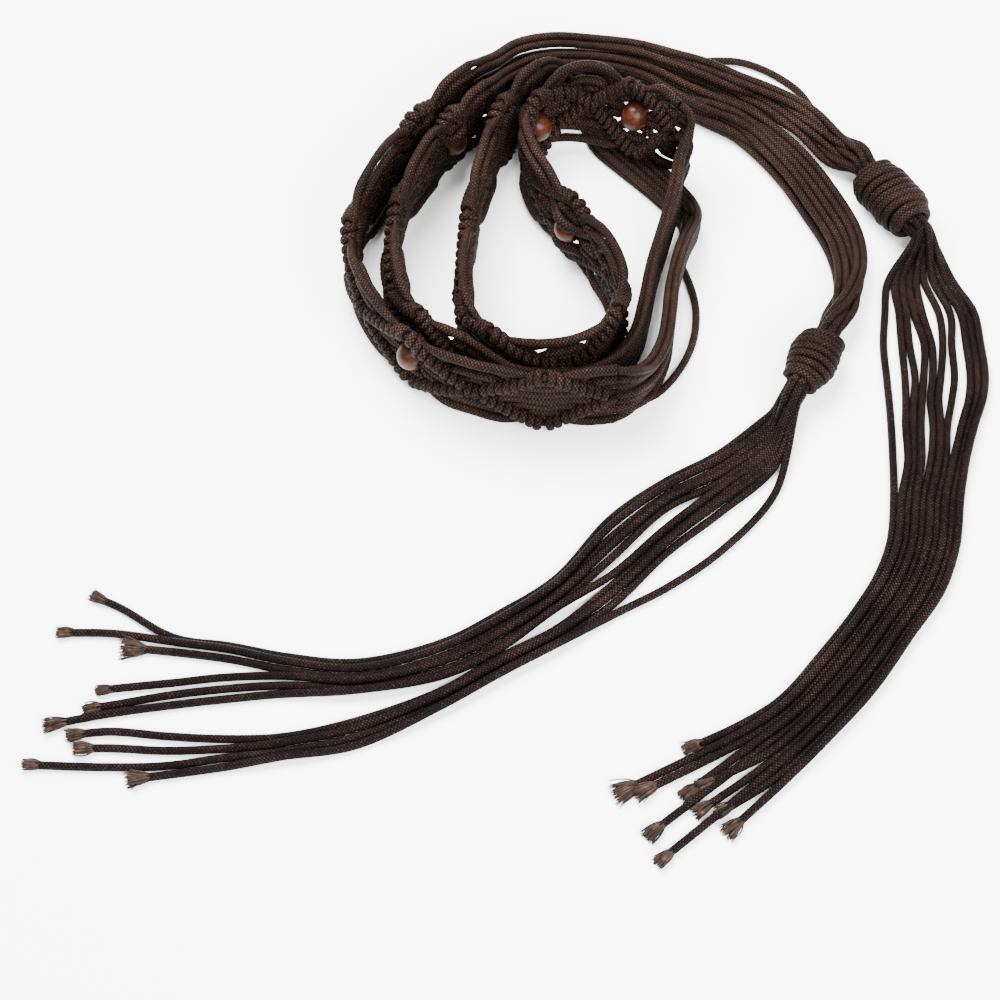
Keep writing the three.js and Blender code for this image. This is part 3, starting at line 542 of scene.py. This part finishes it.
def knot_mouth(knot, at_end):
    start, end, ahead = knot_line(knot)
    middle = end if at_end else start
    left = np.array([-ahead[1], ahead[0], 0])
    points = np.array([middle + left * u + np.array([0, 0, v]) for u, v in KNOT_MOUTH])
    return {"points": points, "middle": middle, "ahead": ahead if at_end else -ahead,
            "rise": middle[2] / CORD, "wide": 1.9, "tall": 1.9}


STATION = 4.0  # mm between the places where a bundle's cords are settled
WANDER = 0.5  # mm that a cord strays from its even place in a bundle
LEAD = 5.0  # mm that a bundle runs straight out of a mouth
STAGGER = 0.35  # share of a standing bundle's half width that every second cord is set aside
FLAT_STAGGER = 0.875  # and of a lying one's half height
MOUTH_EASE = 26.0  # mm over which the cords leave a mouth's own order
PRESSED = 0.97  # how close two cords are pressed, in cords
SETTLE_ROUNDS = 160


def bundle_strands(start, rows, end, seed, strays=()):
    """Ten cords that lie against each other from one mouth to the next."""
    def leaving(mouth, away):
        x, y = (mouth["middle"] + mouth["ahead"] * away)[:2]
        return (x, y, mouth["rise"], mouth["wide"], mouth["tall"])

    sections = [leaving(start, 0), leaving(start, LEAD), *rows, leaving(end, LEAD), leaving(end, 0)]
    sections = np.array(sections, float) * (1, 1, CORD, CORD, CORD)
    line = evenly(sections, STATION)
    middle, wide, tall = line[:, :3], line[:, 3], line[:, 4]
    count = len(line)
    ahead = unit(np.gradient(middle, axis=0))
    left = unit(np.stack([-ahead[:, 1], ahead[:, 0], 0 * ahead[:, 0]], 1))
    reach = np.stack([np.maximum(wide - CORD / 2, 0.4), np.maximum(tall - CORD / 2, 0.4)], 1)

    def local(mouth, station):
        away = mouth["points"] - middle[station]
        return np.stack([away @ left[station], away[:, 2]], 1)

    draw = np.random.default_rng(seed)
    first, last = local(start, 0), local(end, count - 1)
    share = np.linspace(0, 1, count)[:, None]
    phase = draw.uniform(0, 2 * math.pi, (2, 10))
    rate = draw.uniform(0.6, 1.5, (2, 10)) * (count * STATION / 90)
    number = np.arange(10)
    side = np.where(number % 2 == 0, 1, -1) + 0 * share
    row = 1 - 2 * number / 9 + 0 * share
    upright, flat = np.stack([side * STAGGER, row], 2), np.stack([row, side * FLAT_STAGGER], 2)
    lying = np.clip((reach[:, 0] - reach[:, 1]) / 3 + 0.5, 0, 1)[:, None, None]
    places = (upright * (1 - lying) + flat * lying) * reach[:, None]
    places += WANDER * np.sin(phase.T[None] + rate.T[None] * 4 * share[..., None])
    ease = np.clip(np.minimum(share, 1 - share) * count * STATION / MOUTH_EASE, 0, 1)[..., None]
    ease = ease * ease * (3 - 2 * ease)
    anchor = np.where(share[..., None] < 0.5, first[None], last[None])
    places = anchor * (1 - ease) + places * ease
    floor = CORD / 2 - middle[:, 2]
    for _ in range(SETTLE_ROUNDS):
        away = places[:, :, None] - places[:, None]
        gap = np.linalg.norm(away, axis=3) + np.eye(10) * 99
        push = np.clip(CORD * PRESSED - gap, 0, None) / gap
        places = places + 0.25 * (away * push[..., None]).sum(2)
        places = places + 0.5 * (np.clip(places, -reach[:, None], reach[:, None]) - places)
        places[1:-1] = places[1:-1] * 0.7 + (places[:-2] + places[2:]) * 0.15
        places[..., 1] = np.maximum(places[..., 1], floor[:, None])
        places[0], places[-1] = first, last
    world = (middle[:, None] + left[:, None] * places[..., :1]
             + np.array([0, 0, 1.0]) * places[..., 1:])
    strands = []
    for cord in range(10):
        points = world[:, cord]
        for which, route in strays:
            if which == cord:
                leaves, rejoins = (np.linalg.norm(middle[:, :2] - end[:2], axis=1).argmin()
                                   for end in (np.array(route[0]), np.array(route[-1])))
                points = np.vstack([points[:leaves - 2], route, points[rejoins + 3:]])
        strands.append(Strand(evenly(points, TAIL_STEP, 4)))
    return strands


# Cords that swing clear of their bundle: which of the ten, and its route between
OUTER_LOOSE_STRAYS = [
    (9, [(73, 198, 3), (84, 201, 2.2), (95.8, 200.7, 1.8), (103.6, 197.7, 1.7), (111.4, 192.6, 1.7),
         (118.2, 186.1, 1.8), (122, 178.6, 2.8), (123.5, 171.5, 4.4)]),
]
OUTER_GAP_STRAYS = [
    (9, [(72.5, 92, 1.6), (74, 82, 1.6), (72.5, 68, 1.6), (67.5, 56, 1.6), (59, 45, 1.6)]),
]


TURN_PITCH = 0.94  # from one turn of a knot to the next, in cords
TURN_STEPS = 24
TURN_SWELL = 0.1  # how unevenly a turn stands out, and drifts along the knot, in cords
TURN_DRIFT = 0.16


def wound_turns(knot, turns):
    """Cords wound tight round a knot, one turn against the next."""
    start, end, ahead = knot_line(knot)
    middle = (start + end) / 2
    table = np.array(turns, float)
    first, last = table[0, 0] - table[0, 2] + 0.5, table[-1, 0] + table[-1, 2] - 0.5
    count = int(round((last - first) / TURN_PITCH)) + 1
    turn = np.linspace(-0.5, count - 0.5, TURN_STEPS * count)
    along = first + (last - first) * np.clip(turn / (count - 1), 0, 1)
    reach = np.interp(along, table[:, 0], table[:, 1]) - 0.5 + TURN_SWELL * np.sin(turn * 5.3)
    along = along + TURN_DRIFT * np.sin(turn * 2 * math.pi * 1.18)
    lean = np.radians(np.interp(along, table[:, 0], table[:, 3]))
    c, s = np.cos(lean), np.sin(lean)
    left = np.stack([-ahead[1] * c - ahead[0] * s, ahead[0] * c - ahead[1] * s, 0 * c], 1)
    angle = turn * 2 * math.pi
    radial = left * np.cos(angle)[:, None] + np.array([0, 0, 1.0]) * np.sin(angle)[:, None]
    centre = middle + ahead * (along * CORD)[:, None]
    return [Strand(centre + radial * (reach * CORD)[:, None], radial)]


def core_strands(knot):
    start, end, ahead = knot_line(knot)
    here, there = knot_mouth(knot, False)["points"], knot_mouth(knot, True)["points"]
    return [Strand(smooth([a, (a + b) / 2, b], np.linspace(0, 1, 7))) for a, b in zip(here, there)]


def lay_cords(routes):
    """Heights of a tail's cords: where two lie closer than a cord, every second one is on top."""
    laid = []
    for cord, route in enumerate(routes):
        points = []
        for x, y in route:
            near = [CORD]
            for other in (cord - 1, cord + 1):
                if 0 <= other < len(routes):
                    line = np.array(routes[other][1:], float)
                    a, b = line[:-1], line[1:]
                    t = np.clip((((x, y) - a) * (b - a)).sum(1) / ((b - a) ** 2).sum(1), 0, 1)
                    near.append(np.linalg.norm(a + (b - a) * t[:, None] - (x, y), axis=1).min())
            lift = math.sqrt(CORD ** 2 - min(near) ** 2) if cord % 2 else 0
            points.append((x, y, CORD / 2 + lift))
        laid.append(points)
    return laid


def left_routes():
    return [[*((x, row[cord]) for x, row in LEFT_STATIONS
               if row[cord] is not None and x > end[0] + CORD), end]
            for cord, end in enumerate(LEFT_ENDS)]


def right_routes():
    routes = []
    for cord, end in enumerate(RIGHT_ENDS):
        share = cord / 9
        above = [(row[cord], y) for y, row in RIGHT_STATIONS]
        below = [(a + (c - a) * share, b + (d - b) * share) for a, b, c, d in RIGHT_EDGES]
        routes.append([*above, *below, end])
    return routes


def mouth_order(knot, routes):
    """Which place of the knot's mouth each cord of a tail leaves from: sides keep their order."""
    mouth = knot_mouth(knot, True)
    left = np.array([-mouth["ahead"][1], mouth["ahead"][0], 0])
    lateral = (mouth["points"] - mouth["middle"]) @ left
    wanted = [np.append(route[0], 0) @ left for route in routes]
    order = np.argsort(lateral + 0.01 * np.arange(10))
    places = np.empty((10, 3))
    for slot, cord in zip(order, np.argsort(wanted)):
        places[cord] = mouth["points"][slot]
    return places


BRUSH_STEPS = 2  # steps at the end of a cord's line that its frayed brush takes up


def tail_strands(knot, routes):
    starts = mouth_order(knot, routes)
    _, _, ahead = knot_line(knot)
    strands = []
    for start, route in zip(starts, lay_cords(routes)):
        points = [start - ahead * 4, start, start + ahead * 4, *route]
        strands.append(Strand(evenly(points, TAIL_STEP)[:-BRUSH_STEPS]))
    return strands


FIBRES = 70  # in each brush
FIBRE_SIDES = 4
FIBRE_TAPER = np.array([1, 1, 1, 0.9, 0.8, 0.5])


def fray(end, before, width, draw):
    """A brush of loose fibres that opens from a cord's end."""
    end, before = np.array(end, float), np.array(before, float)
    ahead = unit((end - before) * (1, 1, 0))
    left = np.array([-ahead[1], ahead[0], 0])
    up = np.array([0, 0, 1.0])
    strands = []
    long = 2.2 + width * 0.55
    for _ in range(FIBRES):
        angle = draw.uniform(0, 2 * math.pi)
        share = math.sqrt(draw.uniform(0, 1))
        root = end - ahead * 2.2 + (left * math.cos(angle) + up * math.sin(angle)) * share * 1.1
        reach = long * draw.uniform(0.75, 1.1)
        tip = (end + ahead * reach
               + left * math.cos(angle) * share * width / 2 * draw.uniform(0.7, 1.15)
               + up * (math.sin(angle) * share * width / 2.6))
        bow = (root + tip) / 2 + left * draw.normal(0, 0.35) + up * draw.normal(0.25, 0.3)
        points = np.array([root, bow, tip])
        points[:, 2] = np.maximum(points[:, 2], 0.35)
        thick = draw.uniform(0.2, 0.34) * FIBRE_TAPER
        line = smooth(points, np.linspace(0, 1, len(FIBRE_TAPER)))
        strands.append(Strand(line, None, thick, thick))
    return strands


# Colours and nodes
def linear(code):
    """An sRGB hex colour as linear red, green and blue."""
    parts = [int(code[k:k + 2], 16) / 255 for k in (1, 3, 5)]
    return tuple(p / 12.92 if p <= 0.04045 else ((p + 0.055) / 1.055) ** 2.4 for p in parts) + (1.0,)


def node(tree, kind, settings=None, **inputs):
    """Adds a node with its settings; inputs are values, or sockets of other nodes to link."""
    made = tree.nodes.new(kind)
    for key, value in (settings or {}).items():
        setattr(made, key, value)
    for key, value in inputs.items():
        numbered = key[0] == "i" and key[1:].isdigit()
        socket = made.inputs[int(key[1:]) if numbered else key.replace("_", " ")]
        if isinstance(value, bpy.types.NodeSocket):
            tree.links.new(value, socket)
        else:
            socket.default_value = value
    return made


def new_material(name):
    material = bpy.data.materials.new(name)
    material.use_nodes = True
    tree = material.node_tree
    shader = tree.nodes["Principled BSDF"]
    return material, tree, shader


def ramp(tree, factor, stops):
    made = node(tree, "ShaderNodeValToRGB", Fac=factor)
    elements = made.color_ramp.elements
    while len(elements) < len(stops):
        elements.new(0.5)
    for element, (place, code) in zip(elements, stops):
        element.position = place
        element.color = linear(code)
    return made.outputs["Color"]


PLAIT_MM = 1.3  # one stitch of the braid along the cord, drawn a little coarse so that it shows
PLAIT_STRANDS = 6


def braided_cotton(name, dark, middle, light):
    """Round braid of waxed cotton: crossing strands give a fine herringbone, its crowns flecked with
    pale specks of painted highlight and its hollows painted dark as shade.
    """
    material, tree, shader = new_material(name)

    def math_node(operation, a, b=0.0):
        return node(tree, "ShaderNodeMath", {"operation": operation}, i0=a, i1=b).outputs[0]

    uv = node(tree, "ShaderNodeUVMap", {"uv_map": "UVMap"}).outputs["UV"]
    parts = node(tree, "ShaderNodeSeparateXYZ", Vector=uv).outputs
    along = math_node("MULTIPLY", parts["X"], 1000 / PLAIT_MM)
    turn = math_node("MULTIPLY", parts["Y"], PLAIT_STRANDS)
    rising, falling = math_node("ADD", along, turn), math_node("SUBTRACT", along, turn)

    def ridge(value):
        centred = math_node("SUBTRACT", math_node("FRACT", value), 0.5)
        squared = math_node("POWER", math_node("ABSOLUTE", centred), 2.0)
        return math_node("SUBTRACT", 1.0, math_node("MULTIPLY", squared, 4.0))

    over_a, over_b = ridge(rising), ridge(falling)
    crossed = math_node("ADD", math_node("FLOOR", rising), math_node("FLOOR", falling))
    parity = math_node("PINGPONG", crossed, 1.0)
    front = math_node("ADD", math_node("MULTIPLY", over_a, parity),
                      math_node("MULTIPLY", over_b, math_node("SUBTRACT", 1.0, parity)))
    crown = math_node("MULTIPLY", front, math_node("MULTIPLY", over_a, over_b))
    place = node(tree, "ShaderNodeTexCoord").outputs["Object"]
    cloud = node(tree, "ShaderNodeTexNoise", None, Vector=place, Scale=38.0, Detail=2.0).outputs["Fac"]
    speck = node(tree, "ShaderNodeTexNoise", None, Vector=place, Scale=900.0, Detail=2.0,
                 Roughness=0.7).outputs["Fac"]
    # Painted highlight and shade: the crowns of the stitches, flecked by the fine noise, are painted
    # pale and the hollows between the stitches painted dark; the cloud noise adds the cord's own uneven
    # tone.
    painted_crown_highlight = math_node("MULTIPLY", crown, math_node("MULTIPLY", speck, 1.25))
    shade = math_node("ADD", math_node("MULTIPLY", painted_crown_highlight, 0.9),
                      math_node("MULTIPLY", math_node("SUBTRACT", cloud, 0.5), 0.5))
    colour = ramp(tree, shade, [(0.05, dark), (0.42, middle), (0.92, light)])
    height = math_node("ADD", math_node("MULTIPLY", front, 0.8), math_node("MULTIPLY", speck, 0.35))
    bump = node(tree, "ShaderNodeBump", Height=height, Strength=0.8, Distance=0.0004)
    tree.links.new(colour, shader.inputs["Base Color"])
    tree.links.new(bump.outputs["Normal"], shader.inputs["Normal"])
    shader.inputs["Roughness"].default_value = 0.62
    shader.inputs["Specular IOR Level"].default_value = 0.04
    return material


def loose_fibre():
    """Cotton yarn that has come out of its braid: drier and paler than the waxed cord."""
    material, tree, shader = new_material("unbraided_cotton_yarn")
    place = node(tree, "ShaderNodeTexCoord").outputs["Object"]
    grain = node(tree, "ShaderNodeTexNoise", None, Vector=place, Scale=420.0, Detail=3.0).outputs["Fac"]
    colour = ramp(tree, grain, [(0.3, "#110a07"), (0.55, "#291c15"), (0.8, "#49372b")])
    tree.links.new(colour, shader.inputs["Base Color"])
    shader.inputs["Roughness"].default_value = 0.9
    shader.inputs["Specular IOR Level"].default_value = 0.2
    return material


def varnished_wood():
    """Turned hardwood, stained reddish brown and varnished: mottled grain under a soft gloss."""
    material, tree, shader = new_material("varnished_stained_hardwood")
    place = node(tree, "ShaderNodeTexCoord").outputs["Object"]
    stretched = node(tree, "ShaderNodeVectorMath", {"operation": "MULTIPLY"}, i0=place,
                     i1=(1.0, 1.0, 2.2)).outputs["Vector"]
    mottle = node(tree, "ShaderNodeTexNoise", None, Vector=stretched, Scale=210.0, Detail=3.0,
                  Distortion=0.6).outputs["Fac"]
    colour = ramp(tree, mottle, [(0.35, "#150602"), (0.5, "#290e05"), (0.68, "#3f1a0a")])
    tree.links.new(colour, shader.inputs["Base Color"])
    shader.inputs["Roughness"].default_value = 0.45
    shader.inputs["Specular IOR Level"].default_value = 0.1
    shader.inputs["Coat Weight"].default_value = 0.08
    shader.inputs["Coat Roughness"].default_value = 0.15
    return material


def plain_paper():
    """Seamless pale studio sweep."""
    material, tree, shader = new_material("seamless_studio_paper")
    shader.inputs["Base Color"].default_value = linear("#fbfbfa")
    shader.inputs["Roughness"].default_value = 0.9
    return material


def cord_finish():
    found = bpy.data.materials.get("waxed_cotton_braid")
    return found or braided_cotton("waxed_cotton_braid", "#020101", "#100706", "#463430")


def coil_finish_painted_lighter():
    """The same braid in paler colours for the coil: the paler colours are painted light, making up for
    the light that its standing walls don't catch.
    """
    found = bpy.data.materials.get("waxed_cotton_braid_painted_lighter")
    # Paler stops than the tails' cord: painted light for the coil.
    return found or braided_cotton("waxed_cotton_braid_painted_lighter", "#080403", "#221511", "#4d3934")


# The camera and the stage
CAMERA_HIGH = 60.0  # degrees above the floor
CAMERA_AWAY = 1010.1
CAMERA_LENS = 100.0
CAMERA_SENSOR = 36.0


class RopeBeltStage(bpy.types.PropertyGroup):
    lens: bpy.props.FloatProperty(name="Lens", description="Focal length of the camera in mm",
                                  default=CAMERA_LENS, min=20, max=300)
    key_power: bpy.props.FloatProperty(name="Key light", description="Power of the large overhead light",
                                       default=80.0, min=0, unit="POWER")


class RopeBeltCord(bpy.types.PropertyGroup):
    tail_sides: bpy.props.IntProperty(name="Sides", description="Sides of a tail's cord",
                                      default=TAIL_SIDES, min=6, max=24)


class RopeBeltBead(bpy.types.PropertyGroup):
    diameter: bpy.props.FloatProperty(name="Bead", description="Diameter of a wooden bead",
                                      default=0.0122, min=0.004, unit="LENGTH")
    length: bpy.props.FloatProperty(name="Length", description="Length of a bead along its hole",
                                    default=0.010, min=0.003, unit="LENGTH")


def deselect_all():
    bpy.ops.object.select_all(action="DESELECT")


class ROPEBELT_OT_stage(bpy.types.Operator):
    """Adds the pale floor, the soft lights and the camera at the photograph's angle"""
    bl_idname = "ropebelt.stage"
    bl_label = "Floor, lights and camera"

    def execute(self, context):
        settings = context.scene.rope_belt_stage
        deselect_all()
        bpy.ops.mesh.primitive_plane_add(size=6, location=(0, 0, 0))
        floor = context.active_object
        floor.name = "studio_floor"
        floor.data.materials.append(plain_paper())
        world = bpy.data.worlds.new("studio")
        world.use_nodes = True
        world.node_tree.nodes["Background"].inputs["Color"].default_value = linear("#ffffff")
        world.node_tree.nodes["Background"].inputs["Strength"].default_value = 1.5
        context.scene.world = world
        target = Vector((-PLAN_ORIGIN[0] * MM, -PLAN_ORIGIN[1] * MM, 0))
        for name, offset, size, power in (
            ("key", (-0.25, 0.45, 1.0), 0.8, settings.key_power),
            ("fill", (0.5, -0.7, 0.9), 1.0, settings.key_power * 0.8),
        ):
            light = bpy.data.lights.new(name, "AREA")
            light.shape = "DISK"
            light.size = size
            light.energy = power
            lamp = bpy.data.objects.new(name, light)
            context.scene.collection.objects.link(lamp)
            lamp.location = target + Vector(offset)
            lamp.rotation_euler = (-Vector(offset)).to_track_quat("-Z", "Y").to_euler()
        camera = bpy.data.cameras.new("camera")
        camera.lens = settings.lens
        camera.sensor_width = CAMERA_SENSOR
        camera.clip_start = 0.01
        holder = bpy.data.objects.new("camera", camera)
        context.scene.collection.objects.link(holder)
        high = math.radians(CAMERA_HIGH)
        back = Vector((0, -math.cos(high), math.sin(high)))
        holder.location = target + back * CAMERA_AWAY * MM
        holder.rotation_euler = (-back).to_track_quat("-Z", "Y").to_euler()
        context.scene.camera = holder
        return {"FINISHED"}


KNOT_SIDES = 10  # sides of a turn of a knot


def add_tail(name, knot, routes, brushes, sides, seed):
    draw = np.random.default_rng(seed)
    yarn = bpy.data.materials.get("unbraided_cotton_yarn") or loose_fibre()
    for number, (strand, width) in enumerate(zip(tail_strands(knot, routes), brushes), 1):
        piece = add_strands(f"{name}_cord_{number}", [strand], sides, cord_finish(), [name])
        fibres = fray(strand.points[-1], strand.points[-4], width, draw)
        brush = add_strands(f"{name}_fray_{number}", fibres, FIBRE_SIDES, yarn)


class ROPEBELT_OT_tails(bpy.types.Operator):
    """Adds the ten cords of each tail, with their frayed ends"""
    bl_idname = "ropebelt.tails"
    bl_label = "Tails"

    def execute(self, context):
        sides = context.scene.rope_belt_cord.tail_sides
        add_tail("tail_left", INNER_KNOT, left_routes(), LEFT_BRUSHES, sides, 3)
        add_tail("tail_right", OUTER_KNOT, right_routes(), RIGHT_BRUSHES, sides, 5)
        return {"FINISHED"}


def all_bands():
    return (Band(CENTRE_ROUTE, CENTRE_CROSSINGS, CENTRE_BEADS),
            Band(OUTER_ROUTE, OUTER_CROSSINGS, OUTER_BEADS),
            Band(MIDDLE_ROUTE, MIDDLE_CROSSINGS, MIDDLE_BEADS))


class ROPEBELT_OT_bands(bpy.types.Operator):
    """Adds the knotted diamonds of the three stretches of band"""
    bl_idname = "ropebelt.bands"
    bl_label = "Knotted band"

    def execute(self, context):
        for name, band in zip(("band_centre", "band_outer", "band_middle"), all_bands()):
            build_band(name, band, coil_finish_painted_lighter())
        return {"FINISHED"}


class ROPEBELT_OT_plain_cords(bpy.types.Operator):
    """Adds the plain cords between the stretches of band and on to the knots"""
    bl_idname = "ropebelt.plain_cords"
    bl_label = "Plain cords"

    def execute(self, context):
        centre, outer, middle = all_bands()
        for name, start, rows, end, seed, strays in (
            ("gap_cords_inner", band_mouth(centre, False), INNER_GAP,
             band_mouth(middle, False), 11, ()),
            ("gap_cords_outer", band_mouth(centre, True), OUTER_GAP,
             band_mouth(outer, False), 12, OUTER_GAP_STRAYS),
            ("loose_cords_outer", band_mouth(outer, True), OUTER_LOOSE,
             knot_mouth(OUTER_KNOT, False), 13, OUTER_LOOSE_STRAYS),
            ("loose_cords_inner", band_mouth(middle, True), INNER_LOOSE,
             knot_mouth(INNER_KNOT, False), 14, ()),
        ):
            strands = bundle_strands(start, rows, end, seed, strays)
            add_strands(name + "_bundle", strands, CORD_SIDES, coil_finish_painted_lighter(), [name])
        return {"FINISHED"}


class ROPEBELT_OT_knots(bpy.types.Operator):
    """Adds the overhand knot at the head of each tail"""
    bl_idname = "ropebelt.knots"
    bl_label = "Knots"

    def execute(self, context):
        for name, knot, turns in (("knot_outer", OUTER_KNOT, OUTER_TURNS),
                                  ("knot_inner", INNER_KNOT, INNER_TURNS)):
            add_strands(name + "_turns", wound_turns(knot, turns) + core_strands(knot), KNOT_SIDES,
                        coil_finish_painted_lighter(), [name])
        return {"FINISHED"}


BORE_RADIUS = 0.0021
RIM = 0.0005  # width of the flat rim round the bore


def add_bead(context, name, low, high, finish):
    """A turned bead with flat rims and a bore, made along z and laid from one point to the other."""
    settings = context.scene.rope_belt_bead
    radius, half = settings.diameter / 2, settings.length / 2
    deselect_all()
    bpy.ops.mesh.primitive_uv_sphere_add(segments=32, ring_count=20, radius=radius)
    piece = context.active_object
    piece.name = name
    bpy.ops.object.mode_set(mode="EDIT")
    stretch = half / math.sqrt(radius ** 2 - (BORE_RADIUS + RIM) ** 2)
    inward = BORE_RADIUS / (BORE_RADIUS + RIM)
    bpy.ops.transform.resize(value=(1, 1, stretch))
    for side in (1, -1):
        bpy.ops.mesh.select_all(action="SELECT")
        bpy.ops.mesh.bisect(plane_co=(0, 0, half * side), plane_no=(0, 0, side), clear_outer=True)
        bpy.ops.mesh.extrude_edges_move()
        bpy.ops.transform.resize(value=(inward, inward, 1))
    bpy.ops.mesh.select_all(action="DESELECT")
    bpy.ops.mesh.select_non_manifold(extend=False)
    bpy.ops.mesh.bridge_edge_loops()
    bpy.ops.mesh.select_all(action="SELECT")
    bpy.ops.mesh.normals_make_consistent(inside=False)
    bpy.ops.object.mode_set(mode="OBJECT")
    turn = Vector((0, 0, 1)).rotation_difference(high - low).to_matrix().to_4x4()
    piece.data.transform(Matrix.Translation((low + high) / 2) @ turn)
    piece.data.materials.append(finish)
    bpy.ops.object.shade_smooth_by_angle(angle=math.radians(40))
    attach(piece, BODY)
    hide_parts(name.removesuffix("_turned"))
    return piece


class ROPEBELT_OT_beads(bpy.types.Operator):
    """Adds the varnished wooden beads at the middles of their diamonds"""
    bl_idname = "ropebelt.beads"
    bl_label = "Beads"

    def execute(self, context):
        finish = varnished_wood()
        for name, band in zip(("bead_centre", "bead_outer", "bead_middle"), all_bands()):
            for diamond in band.beads:
                middle = CELLS * diamond + HALF
                ends = [Vector((band.place(middle + side, BAR_CENTRE) - (*PLAN_ORIGIN, 0)) * MM)
                        for side in (-1, 1)]
                add_bead(context, f"{name}_{diamond + 1}_turned", *ends, finish)
        return {"FINISHED"}


class ROPEBELT_PT_panel(bpy.types.Panel):
    """Sidebar panel with the belt's sizes and its build steps"""
    bl_idname = "ROPEBELT_PT_panel"
    bl_label = "Rope belt"
    bl_space_type = "VIEW_3D"
    bl_region_type = "UI"
    bl_category = "Rope belt"

    def draw(self, context):
        layout = self.layout
        scene = context.scene
        layout.prop(scene.rope_belt_stage, "lens")
        layout.prop(scene.rope_belt_stage, "key_power")
        layout.prop(scene.rope_belt_cord, "tail_sides")
        layout.prop(scene.rope_belt_bead, "diameter")
        layout.prop(scene.rope_belt_bead, "length")
        for step in STEPS:
            layout.operator(step.bl_idname)


STEPS = (ROPEBELT_OT_stage, ROPEBELT_OT_tails, ROPEBELT_OT_bands, ROPEBELT_OT_plain_cords,
         ROPEBELT_OT_knots, ROPEBELT_OT_beads)
GROUPS = (RopeBeltStage, RopeBeltCord, RopeBeltBead)


def register():
    for kind in (*GROUPS, *STEPS, ROPEBELT_PT_panel):
        bpy.utils.register_class(kind)
    for group, name in zip(GROUPS, ("stage", "cord", "bead")):
        setattr(bpy.types.Scene, "rope_belt_" + name, bpy.props.PointerProperty(type=group))


def unregister():
    for name in ("stage", "cord", "bead"):
        delattr(bpy.types.Scene, "rope_belt_" + name)
    for kind in (ROPEBELT_PT_panel, *reversed(STEPS), *reversed(GROUPS)):
        bpy.utils.unregister_class(kind)


def main():
    register()
    bpy.ops.ropebelt.stage()
    bpy.ops.ropebelt.tails()
    bpy.ops.ropebelt.bands()
    bpy.ops.ropebelt.plain_cords()
    bpy.ops.ropebelt.knots()
    bpy.ops.ropebelt.beads()


if __name__ == "__main__":
    main()
